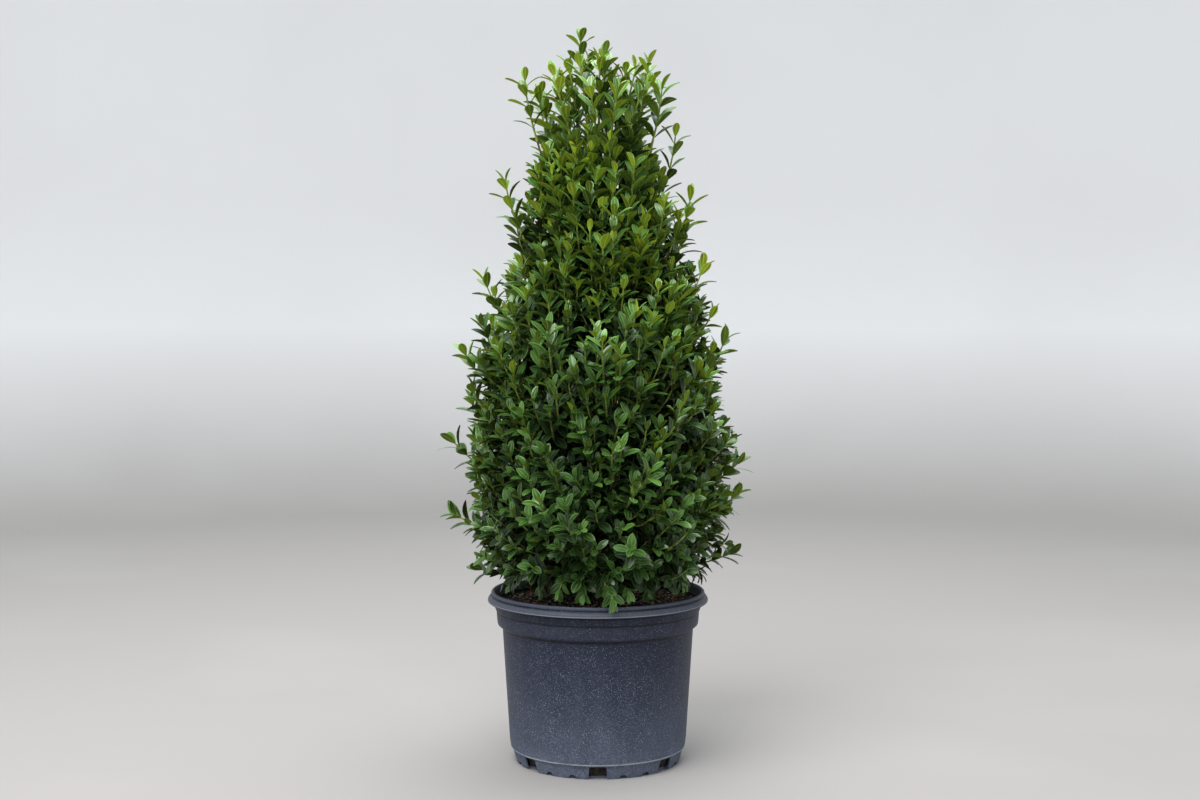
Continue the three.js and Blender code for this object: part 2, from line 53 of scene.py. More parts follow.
BODY = "root"
FULL_TURN = 2 * math.pi
GOLDEN_ANGLE = math.pi * (3 - math.sqrt(5))
HALVINGS = 30
UP = np.array([0.0, 0.0, 1.0])

# Turns about X and Y, in radians, that set a noise's own grid askew to every level and upright wall.
GRID_TURN = (-0.6155, 0.7854, 0.0)

Array = np.ndarray
Socket = bpy.types.NodeSocket
Triple = tuple[float, float, float]
Colour = tuple[float, float, float]
Span = float | tuple[float, float]


# ---------------------------------------------------------------- vectors and curves


def unit(vectors: Array) -> Array:
    """Scale vectors to length one.

    Args:
        vectors: One vector or an array of them.

    Returns:
        The same directions at length one.
    """
    return vectors / np.maximum(np.linalg.norm(vectors, axis=-1, keepdims=True), 1e-12)


def direction(elevation: float, bearing: float) -> Array:
    """Give the unit vector at an elevation and a bearing, both in radians.

    Args:
        elevation: Angle above the horizon.
        bearing: Angle about +Z from +X.

    Returns:
        A unit vector.
    """
    level = math.cos(elevation)
    return np.array([level * math.cos(bearing), level * math.sin(bearing), math.sin(elevation)])


def bezier(control: Array, count: int) -> Array:
    """Sample a cubic curve evenly in its parameter.

    Args:
        control: Four control points.
        count: How many points to return.

    Returns:
        Points along the curve, first to last.
    """
    t = np.linspace(0, 1, count)[:, None]
    a, b, c, d = control
    return (1 - t) ** 3 * a + 3 * (1 - t) ** 2 * t * b + 3 * (1 - t) * t**2 * c + t**3 * d


def square_to(along: Array) -> tuple[Array, Array]:
    """Give two unit vectors square to a direction and to each other.

    Args:
        along: A unit vector.

    Returns:
        The two side vectors.
    """
    hint = UP if abs(along[2]) < 0.9 else np.array([1.0, 0.0, 0.0])
    side = unit(np.cross(along, hint))
    return side, np.cross(side, along)


def waves(points: Array, size: float, seed: int, layers: int = 7) -> Array:
    """Give a smooth random field, the sum of plane waves in random directions.

    Args:
        points: Places to read the field at.
        size: Typical width of a lump.
        seed: Seed of the random directions.
        layers: How many waves are summed.

    Returns:
        One value for each point, mostly between -1 and 1.
    """
    rng = np.random.default_rng(seed)
    total = np.zeros(len(points))
    for _ in range(layers):
        heading = unit(rng.normal(size=points.shape[1]))
        total += np.sin(points @ heading * FULL_TURN / (size * rng.uniform(0.7, 1.5)) + rng.uniform(0, 9))
    return total / math.sqrt(layers)


def around(count: int) -> Array:
    """Give the bearings of points spread evenly over a full turn."""
    return np.arange(count) * FULL_TURN / count


def circle(radius: float, height: float, turns: Array) -> Array:
    """Give the points of a level circle about +Z at some bearings."""
    return np.stack([radius * np.cos(turns), radius * np.sin(turns), np.full(len(turns), height)], 1)


def fade(part: float) -> float:
    """Fall evenly from one, where the part is nothing, to nothing, where it is one or more."""
    return max(0.0, 1 - part)


def draw(span: Span, rng: np.random.Generator) -> float:
    """Draw a value from a range, or give a fixed one as it is."""
    return rng.uniform(*span) if isinstance(span, tuple) else span


def halve(low: float, high: float, holds: Callable[[float], bool]) -> float:
    """Find where a test stops holding, by halving the range again and again.

    Args:
        low: The range's low end, where the test holds.
        high: Its high end, where it doesn't.
        holds: The test.

    Returns:
        The value at which the test stops holding.
    """
    for _ in range(HALVINGS):
        middle = (low + high) / 2
        if holds(middle):
            low = middle
        else:
            high = middle
    return (low + high) / 2


# ---------------------------------------------------------------- meshes


@dataclass
class MeshStock:
    """Points and triangles gathered for one joined mesh."""

    points: list[Array] = field(default_factory=list)
    faces: list[Array] = field(default_factory=list)
    slots: list[Array] = field(default_factory=list)
    spots: list[Array] = field(default_factory=list)
    count: int = 0

    def add(self, points: Array, faces: Array, slots: Array | int = 0, spots: Array | None = None) -> None:
        """Take in one more shape.

        Args:
            points: Its corner points.
            faces: Its triangles, as indices into points.
            slots: The material slot of each triangle, or one for all.
            spots: A place on the finish's pattern for each point.
        """
        self.points.append(points)
        self.faces.append(faces + self.count)
        self.slots.append(np.broadcast_to(np.asarray(slots, dtype=np.int32), (len(faces),)))
        self.spots.append(np.zeros((len(points), 2)) if spots is None else spots)
        self.count += len(points)

    def make(self, name: str, materials: list[bpy.types.Material], crease: float = 40) -> bpy.types.Object:
        """Turn the stock into one object.

        Args:
            name: The object's name.
            materials: Its materials, by slot.
            crease: Angle in degrees above which an edge stays sharp.

        Returns:
            The new object, linked to the scene.
        """
        points = np.concatenate(self.points).astype(np.float32)
        faces = np.concatenate(self.faces).astype(np.int32)
        mesh = bpy.data.meshes.new(name)
        mesh.vertices.add(len(points))
        mesh.vertices.foreach_set("co", points.ravel())
        mesh.loops.add(faces.size)
        mesh.loops.foreach_set("vertex_index", faces.ravel())
        mesh.polygons.add(len(faces))
        mesh.polygons.foreach_set("loop_start", np.arange(0, faces.size, 3, dtype=np.int32))
        mesh.update(calc_edges=True)
        for material in materials:
            mesh.materials.append(material)
        mesh.polygons.foreach_set("material_index", np.concatenate(self.slots).astype(np.int32))
        spots = np.concatenate(self.spots).astype(np.float32)
        if spots.any():
            layer = mesh.uv_layers.new(name="pattern")
            layer.data.foreach_set("uv", spots[faces.ravel()].ravel())
        mesh.shade_smooth()
        mesh.set_sharp_from_angle(angle=math.radians(crease))
        mesh.validate()
        made = bpy.data.objects.new(name, mesh)
        bpy.context.scene.collection.objects.link(made)
        return made


def ring_faces(rows: int, sides: int) -> Array:
    """Give the triangles of a tube's skin.

    Args:
        rows: How many rings the tube has.
        sides: How many points each ring has.

    Returns:
        The triangles, facing outwards for rings that turn left round their direction.
    """
    row, side = np.meshgrid(np.arange(rows - 1), np.arange(sides), indexing="ij")
    a = (row * sides + side).ravel()
    b = (row * sides + (side + 1) % sides).ravel()
    return np.concatenate([np.stack([a, b, a + sides], 1), np.stack([b, b + sides, a + sides], 1)])


def cap_faces(first: int, sides: int, upwards: bool) -> Array:
    """Give the triangles that close one ring.

    Args:
        first: Index of the ring's first point.
        sides: How many points it has.
        upwards: Whether the cap faces along the tube's direction.

    Returns:
        The cap's triangles.
    """
    j = np.arange(1, sides - 1)
    start = np.full_like(j, first)
    pair = (first + j, first + j + 1) if upwards else (first + j + 1, first + j)
    return np.stack([start, *pair], 1)


def closed_faces(rows: int, sides: int) -> Array:
    """Give the triangles of a tube's skin and of the caps on both its ends.

    Args:
        rows: How many rings the tube has.
        sides: How many points each ring has.

    Returns:
        The triangles, facing outwards.
    """
    last = (rows - 1) * sides
    caps = [cap_faces(0, sides, False), cap_faces(last, sides, True)]
    return np.concatenate([ring_faces(rows, sides), *caps])


def tube(centres: Array, radii: Array, sides: int, relief: Array | None = None) -> tuple[Array, Array]:
    """Make a closed tapering tube along a row of points.

    Args:
        centres: Points along the middle.
        radii: The radius at each point.
        sides: How many sides the tube has.
        relief: Added to the radius, for each ring and side.

    Returns:
        The tube's points and triangles.
    """
    along = unit(np.gradient(centres, axis=0))
    side, _ = square_to(along[0])
    turns = around(sides)
    rings = []
    for k, centre in enumerate(centres):
        side = unit(side - along[k] * (side @ along[k]))
        other = np.cross(along[k], side)
        reach = radii[k] + (relief[k] if relief is not None else 0)
        ring = np.cos(turns)[:, None] * side + np.sin(turns)[:, None] * other
        rings.append(centre + ring * np.broadcast_to(reach, sides)[:, None])
    return np.concatenate(rings), closed_faces(len(centres), sides)


def lathe(profile: Array, segments: int) -> tuple[Array, Array]:
    """Turn a profile about +Z.

    Args:
        profile: Radius and height of each point, from the bottom of the outside over the top.
        segments: How many columns the surface has.

    Returns:
        Points and triangles, open at both ends.
    """
    turns = around(segments)
    rings = [circle(radius, height, turns) for radius, height in profile]
    return np.concatenate(rings), ring_faces(len(profile), segments)


def settle(piece: bpy.types.Object, slot: str, *nodes: str) -> bpy.types.Object:
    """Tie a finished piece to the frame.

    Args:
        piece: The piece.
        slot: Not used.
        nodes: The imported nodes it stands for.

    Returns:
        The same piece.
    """
    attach(piece, BODY)
    if nodes:
        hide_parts(*nodes)
    stands_for = ", ".join(nodes) or "no node"
    log.info("%s: %d faces, stands for %s", piece.name, len(piece.data.polygons), stands_for)
    return piece


# ---------------------------------------------------------------- finishes


class Board:
    """A new material and the nodes that colour it."""

    def __init__(self, name: str) -> None:
        """Start a material with a plain principled surface.

        Args:
            name: The material's name.
        """
        self.material = bpy.data.materials.new(name)
        self.material.use_nodes = True
        self.nodes = self.material.node_tree.nodes
        self.links = self.material.node_tree.links
        self.surface = self.nodes["Principled BSDF"]
        self.place = self.node("ShaderNodeTexCoord").outputs["Object"]

    def node(self, kind: str, **values: object) -> bpy.types.Node:
        """Add a node.

        Args:
            kind: Its type.
            values: Input values by socket name, with spaces as underscores; a socket links instead.

        Returns:
            The new node.
        """
        made = self.nodes.new(kind)
        for key, value in values.items():
            self.feed(made.inputs[key.replace("_", " ")], value)
        return made

    def feed(self, socket: Socket, value: object) -> None:
        """Set a socket, or link it.

        Args:
            socket: The input to set.
            value: Its value, or the output that it takes its value from.
        """
        if isinstance(value, Socket):
            self.links.new(value, socket)
        elif isinstance(value, tuple) and len(value) == 3 and socket.type == "RGBA":
            socket.default_value = (*value, 1.0)
        else:
            socket.default_value = value

    def set(self, **values: object) -> None:
        """Set or link the surface's own inputs, by name with spaces as underscores."""
        for key, value in values.items():
            self.feed(self.surface.inputs[key.replace("_", " ")], value)

    def height(self) -> Socket:
        """Give the height on the object."""
        return self.node("ShaderNodeSeparateXYZ", Vector=self.place).outputs["Z"]

    def turned(self, stretch: Triple = (1, 1, 1)) -> Socket:
        """Give the place on the object, turned so that no wall runs along a pattern's own grid.

        Args:
            stretch: Scale along each axis.

        Returns:
            The turned place.
        """
        moved = self.node("ShaderNodeMapping", Vector=self.place, Scale=stretch, Rotation=GRID_TURN)
        return moved.outputs["Vector"]

    def noise(self, scale: float, detail: float = 3, stretch: Triple = (1, 1, 1)) -> Socket:
        """Give a noise pattern fixed to the object.

        Args:
            scale: Lumps per metre.
            detail: How many finer layers are added.
            stretch: Scale along each axis.

        Returns:
            The pattern's value, from 0 to 1.
        """
        made = self.node("ShaderNodeTexNoise", Vector=self.turned(stretch), Scale=scale, Detail=detail)
        return made.outputs["Fac"]

    def ramp(self, value: Socket, low: float, high: float, to_low: float = 0, to_high: float = 1) -> Socket:
        """Map a range of values onto another, held at both ends.

        Args:
            value: The value to map.
            low: Where the range starts.
            high: Where it ends.
            to_low: What low maps to.
            to_high: What high maps to.

        Returns:
            The mapped value.
        """
        made = self.node("ShaderNodeMapRange", Value=value)
        for key, number in (("From Min", low), ("From Max", high), ("To Min", to_low), ("To Max", to_high)):
            made.inputs[key].default_value = number
        return made.outputs["Result"]

    def math(self, operation: str, a: object, b: object = 0.0) -> Socket:
        """Combine two values.

        Args:
            operation: What is done with them.
            a: The first value or socket.
            b: The second.

        Returns:
            The result.
        """
        made = self.nodes.new("ShaderNodeMath")
        made.operation = operation
        self.feed(made.inputs[0], a)
        self.feed(made.inputs[1], b)
        return made.outputs[0]

    def total(self, a: object, b: object) -> Socket:
        """Add two values."""
        return self.math("ADD", a, b)

    def product(self, a: object, b: object) -> Socket:
        """Multiply two values."""
        return self.math("MULTIPLY", a, b)

    def off(self, value: Socket, middle: float) -> Socket:
        """Give how far a value is from a middle one."""
        return self.math("ABSOLUTE", self.math("SUBTRACT", value, middle))

    def blend(self, share: object, a: object, b: object) -> Socket:
        """Blend two colours.

        Args:
            share: How much of b shows.
            a: The first colour.
            b: The second colour.

        Returns:
            The blended colour.
        """
        made = self.nodes.new("ShaderNodeMix")
        made.data_type = "RGBA"
        self.feed(made.inputs[0], share)
        self.feed(made.inputs[6], a)
        self.feed(made.inputs[7], b)
        return made.outputs[2]

    def bump(self, height: Socket, strength: float, distance: float) -> None:
        """Raise the surface by a pattern."""
        made = self.node("ShaderNodeBump", Height=height, Strength=strength, Distance=distance)
        self.set(Normal=made.outputs["Normal"])


@dataclass(frozen=True)
class PotPlastic:
    """Blue-grey polypropylene, dusty towards the foot and speckled all over.

    Painted shade and painted highlight lie in bands round it, each between two heights.
    """

    base: Colour = (0.015, 0.019, 0.037)
    dust: Colour = (0.110, 0.130, 0.185)
    speckle: Colour = (0.42, 0.46, 0.52)
    # Pale line: wear along the foot's ledge, and a painted highlight along the lip's lower edge.
    wear_and_highlight: Colour = (0.38, 0.42, 0.48)
    # Painted shade: the dark of the lines under the lip, in the grooves and under the collar's step.
    painted_shadow: Colour = (0.007, 0.008, 0.009)
    # Painted highlight: the lighter bands on the collar, the lip and the bead.
    painted_highlight: Colour = (0.130, 0.145, 0.170)
    film_top: float = 0.19
    film_fall: float = 2.2
    film_lumps: float = 22
    foot_top: float = 0.034
    foot_dust: float = 0.75
    foot_lumps: float = 170
    streak_dust: float = 0.10
    streak_lumps: float = 70
    streak_stretch: Triple = (1, 1, 0.06)
    fine_dust: float = 0.18
    fine_lumps: float = 1050
    speck_scale: float = 1250.0
    speck_lumps: float = 60
    specks_from: float = 0.20
    specks_more: float = 0.22
    ledge: float = 0.0187
    ledge_lumps: float = 120
    # Heights of the bands: painted shade under the lip, in the groove, under the step and in the crease;
    # painted highlight on the collar, the lip's edge, the lip and the bead.
    under_lip: tuple[float, float] = (0.2012, 0.2046)
    groove: tuple[float, float] = (0.1912, 0.1936)
    collar: tuple[float, float] = (0.1742, 0.1908)
    step: tuple[float, float] = (0.1698, 0.1736)
    lip_edge: tuple[float, float] = (0.2052, 0.2064)
    lip: tuple[float, float] = (0.2064, 0.2112)
    crease: tuple[float, float] = (0.2117, 0.2131)
    bead: tuple[float, float] = (0.2136, 0.2170)
    soft_outside: float = 0.0003
    soft_inside: float = 0.0004
    roughness: float = 0.47
    dusty_roughness: float = 0.8
    ior: float = 1.45
    sheen: float = 0.22
    grain_lumps: float = 1400
    grain_depth: float = 0.0004

    def make(self) -> bpy.types.Material:
        """Build the material.

        Returns:
            The material.
        """
        board = Board("pot_plastic")
        height = board.height()
        dusty = self.dustiness(board, height)
        colour = board.blend(board.ramp(dusty, 0, 1, 0, 0.95), self.base, self.dust)
        colour = board.blend(self.specks(board, height), colour, self.speckle)
        colour = self.banded(board, height, colour)
        roughness = board.ramp(dusty, 0, 1, self.roughness, self.dusty_roughness)
        board.set(Base_Color=colour, Roughness=roughness)
        board.set(IOR=self.ior, Specular_IOR_Level=self.sheen)
        board.bump(board.noise(self.grain_lumps, 2), 0.12, self.grain_depth)
        return board.material

    def dustiness(self, board: Board, height: Socket) -> Socket:
        """Give how dusty the plastic is: a cloudy film, a dustier foot, streaks and fine grains.

        Args:
            board: The material's board.
            height: The height on the pot.

        Returns:
            The share of dust.
        """
        cloud = board.ramp(board.noise(self.film_lumps, 4), 0.38, 0.68)
        falling = board.math("POWER", board.ramp(height, self.film_top, 0.0), self.film_fall)
        film = board.product(falling, board.ramp(cloud, 0, 1, 0.7, 1.0))
        patches = board.ramp(board.noise(self.foot_lumps, 3), 0.44, 0.62)
        foot = board.product(board.ramp(height, self.foot_top, 0.002), patches)
        film = board.total(film, board.product(foot, self.foot_dust))
        runs = board.noise(self.streak_lumps, 3, self.streak_stretch)
        streaks = board.product(board.ramp(runs, 0.5, 0.75), self.streak_dust)
        fine = board.product(board.ramp(board.noise(self.fine_lumps, 1), 0.48, 0.74), self.fine_dust)
        return board.total(board.total(film, streaks), fine)

    def specks(self, board: Board, height: Socket) -> Socket:
        """Give where the pale specks are: in patches, and more of them towards the foot.

        Args:
            board: The material's board.
            height: The height on the pot.

        Returns:
            How strongly a speck shows.
        """
        grains = board.node("ShaderNodeTexVoronoi", Vector=board.turned(), Scale=self.speck_scale)
        dots = board.ramp(grains.outputs["Distance"], 0.44, 0.28)
        patchy = board.ramp(board.noise(self.speck_lumps, 2), 0.36, 0.66, 0.55, 1.0)
        own = board.node("ShaderNodeSeparateColor", Color=grains.outputs["Color"]).outputs[0]
        crowded = board.ramp(height, self.specks_from, 0.01, 0.0, self.specks_more)
        chosen = board.ramp(board.total(own, crowded), 0.84, 1.02)
        return board.product(board.product(dots, chosen), patchy)

    def banded(self, board: Board, height: Socket, colour: Socket) -> Socket:
        """Lay the bands of painted shade and painted highlight and the worn line of the foot's ledge over a
        colour.

        Args:
            board: The material's board.
            height: The height on the pot.
            colour: The colour so far.

        Returns:
            The colour with the bands.
        """
        # Painted shade under the lip and the step and in the grooves; painted highlight on the collar, lip
        # and bead.
        bands = ((self.under_lip, self.painted_shadow, 0.95), (self.groove, self.painted_shadow, 0.6),
                 (self.collar, self.painted_highlight, 0.06), (self.step, self.painted_shadow, 0.6),
                 (self.lip, self.painted_highlight, 0.36), (self.lip_edge, self.wear_and_highlight, 0.45),
                 (self.crease, self.painted_shadow, 0.6), (self.bead, self.painted_highlight, 0.28))
        for (low, high), tint, share in bands:
            from_low = board.ramp(height, low - self.soft_outside, low + self.soft_inside)
            to_high = board.ramp(height, high + self.soft_outside, high - self.soft_inside)
            band = board.math("MINIMUM", from_low, to_high)
            colour = board.blend(board.product(band, share), colour, tint)
        line = board.ramp(board.off(height, self.ledge), 0.0015, 0.0006)
        broken = board.ramp(board.noise(self.ledge_lumps, 2), 0.2, 0.5)
        return board.blend(board.product(line, broken), colour, self.wear_and_highlight)


@dataclass(frozen=True)
class Grit:
    """Loose matter with a colour that drifts between two shades."""

    name: str
    dark: Colour
    light: Colour
    lumps: float
    roughness: float = 0.9
    depth: float = 0.0006

    def make(self) -> bpy.types.Material:
        """Build the material.

        Returns:
            The material.
        """
        board = Board(self.name)
        drift = board.ramp(board.noise(self.lumps, 5), 0.35, 0.68)
        board.set(Base_Color=board.blend(drift, self.dark, self.light), Roughness=self.roughness)
        board.bump(board.noise(self.lumps * 5, 4), 0.7, self.depth)
        return board.material


@dataclass(frozen=True)
class Bark:
    """Fissured bark with pale ridges over dark cracks, and a little lichen."""

    name: str = "bark"
    crack: Colour = (0.030, 0.022, 0.014)
    ridge: Colour = (0.190, 0.150, 0.095)
    lichen: Colour = (0.16, 0.17, 0.11)
    crack_lumps: float = 240
    crack_stretch: Triple = (1, 1, 0.22)
    lichen_lumps: float = 60
    roughness: float = 0.88
    depth: float = 0.0008

    def make(self) -> bpy.types.Material:
        """Build the material.

        Returns:
            The material.
        """
        board = Board(self.name)
        fissures = board.ramp(board.noise(self.crack_lumps, 5, self.crack_stretch), 0.36, 0.64)
        patches = board.ramp(board.noise(self.lichen_lumps, 3), 0.62, 0.75, 0, 0.5)
        colour = board.blend(fissures, self.crack, self.ridge)
        board.set(Base_Color=board.blend(patches, colour, self.lichen), Roughness=self.roughness)
        board.bump(fissures, 0.8, self.depth)
        return board.material


@dataclass(frozen=True)
class StemSkin:
    """The skin of a thin stem, drifting between two shades."""

    name: str
    shade: Colour
    light: Colour
    roughness: float = 0.6
    lumps: float = 140

    def make(self) -> bpy.types.Material:
        """Build the material.

        Returns:
            The material.
        """
        board = Board(self.name)
        drift = board.ramp(board.noise(self.lumps, 2), 0.35, 0.65)
        board.set(Base_Color=board.blend(drift, self.shade, self.light), Roughness=self.roughness)
        return board.material


@dataclass(frozen=True)
class LeafSkin:
    """One side of a waxy leaf: its tint, a paler midrib and margin, small drifts between leaves.

    A leaf's pattern runs across it from 0 to 1, with the midrib at the middle.
    The paler margin is partly the leaf's own pale edge and partly a painted highlight.
    """

    name: str
    tint: Colour
    rib: float
    margin: float
    roughness: float
    sheen: float
    pale_gain: float = 2.3
    pale_lift: float = 0.03
    dull_gain: float = 0.50
    bright_gain: float = 1.33
    blotch_lumps: float = 220
    blotch: float = 0.12
    ior: float = 1.45

    def make(self) -> bpy.types.Material:
        """Build the material.

        Returns:
            The material.
        """
        board = Board(self.name)
        spot = board.node("ShaderNodeUVMap")
        spot.uv_map = "pattern"
        across = board.node("ShaderNodeSeparateXYZ", Vector=spot.outputs["UV"]).outputs["X"]
        off_rib = board.off(across, 0.5)
        rib = board.product(board.ramp(off_rib, 0.095, 0.03), self.rib)
        # Paler margin: partly the leaf's own pale edge, partly a painted highlight along it.
        margin = board.product(board.ramp(off_rib, 0.36, 0.43), self.margin)
        own = board.node("ShaderNodeNewGeometry").outputs["Random Per Island"]
        pale = tuple(min(1.0, self.pale_gain * channel + self.pale_lift) for channel in self.tint)
        dull = tuple(self.dull_gain * channel for channel in self.tint)
        bright = tuple(self.bright_gain * channel for channel in self.tint)
        blotch = board.ramp(board.noise(self.blotch_lumps, 2), 0.3, 0.7, -self.blotch, self.blotch)
        colour = board.blend(board.total(own, blotch), dull, bright)
        lines = board.math("MAXIMUM", rib, margin)
        board.set(Base_Color=board.blend(lines, colour, pale), Roughness=self.roughness)
        board.set(IOR=self.ior, Specular_IOR_Level=self.sheen)
        return board.material


class Tone(Enum):
    """The tints of leaves, upper side and underside, and the upper side's sheen.

    They go from the shade to the youngest tips, with the old leaves last; the darkest two are painted
    shade.
    """

    # Painted shade: a near-black tint with almost no sheen, for the leaves deep inside the crown.
    PAINTED_SHADE = ((0.006, 0.015, 0.002), (0.014, 0.024, 0.004), 0.05)
    # Mostly painted shade: a dark tint with less sheen, for inner and low leaves.
    DARK = ((0.0125, 0.033, 0.005), (0.033, 0.059, 0.008), 0.32)
    MATURE = ((0.034, 0.086, 0.012), (0.078, 0.128, 0.015), 0.58)
    GREEN = ((0.056, 0.132, 0.021), (0.128, 0.196, 0.021), 0.58)
    FRESH = ((0.088, 0.188, 0.034), (0.225, 0.308, 0.023), 0.58)
    YOUNG = ((0.124, 0.236, 0.046), (0.310, 0.400, 0.027), 0.58)
    OLD = ((0.075, 0.062, 0.014), (0.110, 0.085, 0.022), 0.58)

    def skins(self) -> list[bpy.types.Material]:
        """Give the materials of the upper side and the underside.

        Returns:
            The two materials.
        """
        upper, under, sheen = self.value
        name = f"leaf_{self.name.lower()}"
        return [
            LeafSkin(f"{name}_upper", upper, rib=0.60, margin=0.90, roughness=0.30, sheen=sheen).make(),
            LeafSkin(f"{name}_under", under, rib=0.40, margin=0.35, roughness=0.55, sheen=0.16).make(),
        ]


# ---------------------------------------------------------------- the crown's fan


@dataclass(frozen=True)
class Tier:
    """One tier of masses: the root heights it owns, how many stand round and the first's bearing."""

    name: str
    low: float
    high: float
    masses: int
    turn: float

    @property
    def root(self) -> float:
        """The root height of its middle branches."""
        return (self.low + self.high) / 2

    def bearing(self, sector: int) -> float:
        """The bearing of one of its masses, in radians."""
        return math.radians(self.turn) + FULL_TURN * sector / self.masses


@dataclass(frozen=True)
class Crown:
    """The clipped outline and the fan of branches inside it."""

    outline: tuple[tuple[float, float], ...] = (
        (0.206, 0.108), (0.232, 0.130), (0.262, 0.149), (0.300, 0.161), (0.345, 0.167),
        (0.395, 0.164), (0.445, 0.155), (0.520, 0.147), (0.590, 0.132), (0.660, 0.113),
        (0.730, 0.090), (0.770, 0.078), (0.810, 0.074), (0.850, 0.077), (0.880, 0.064), (0.902, 0.038),
        (0.910, 0.0),
    )
    fan_low: float = 0.2055
    fan_high: float = 0.820
    low_angle: float = 8
    high_angle: float = 90
    curve: float = 0.45
    tiers: tuple[Tier, ...] = (
        Tier("skirt", 0.2055, 0.240, 6, 12),
        Tier("lower", 0.240, 0.290, 6, 40),
        Tier("middle", 0.290, 0.370, 5, 5),
        Tier("upper", 0.370, 0.480, 4, 33),
    )
    top_from: float = 0.480
    bough_end: float = 0.42
    longest: float = 0.7

    def outline_at(self, height: float) -> float:
        """Give the outline's radius at a height."""
        heights, radii = zip(*self.outline)
        return float(np.interp(height, heights, radii))

    def elevation(self, root: float) -> float:
        """Give the elevation, in radians, of the branch that leaves the axis at a root height."""
        share = min(max((root - self.fan_low) / (self.fan_high - self.fan_low), 0), 1)
        return math.radians(self.low_angle + (self.high_angle - self.low_angle) * share**self.curve)

    def passes_under(self, root: float, radius: float, height: float) -> bool:
        """Tell whether the branch from a root height passes under a radius and height."""
        angle = self.elevation(root)
        return root * math.cos(angle) + radius * math.sin(angle) < height * math.cos(angle)

    def is_inside(self, root: float, distance: float) -> bool:
        """Tell whether the point at a distance along a branch is inside the outline."""
        angle = self.elevation(root)
        return distance * math.cos(angle) < self.outline_at(root + distance * math.sin(angle))

    def root_of(self, radius: float, height: float) -> float:
        """Give the root height of the branch through a radius and height."""
        return halve(self.fan_low, self.fan_high, lambda root: self.passes_under(root, radius, height))

    def reach(self, root: float) -> float:
        """Give the distance along a branch from the axis to the outline."""
        return halve(0.0, self.longest, lambda distance: self.is_inside(root, distance))

    def on_branch(self, root: float, bearing: float, share: float) -> Array:
        """Give the point at a share of a branch's reach."""
        return direction(self.elevation(root), bearing) * self.reach(root) * share + UP * root

    def foliage_nodes(self) -> list[str]:
        """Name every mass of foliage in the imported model."""
        names = [f"{tier.name}_foliage_{k + 1}" for tier in self.tiers for k in range(tier.masses)]
        return names + ["top_foliage"]

    def bough_nodes(self) -> list[str]:
        """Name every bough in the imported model."""
        return [f"{tier.name}_bough_{k + 1}" for tier in self.tiers for k in range(tier.masses)]


# ---------------------------------------------------------------- trunk and boughs


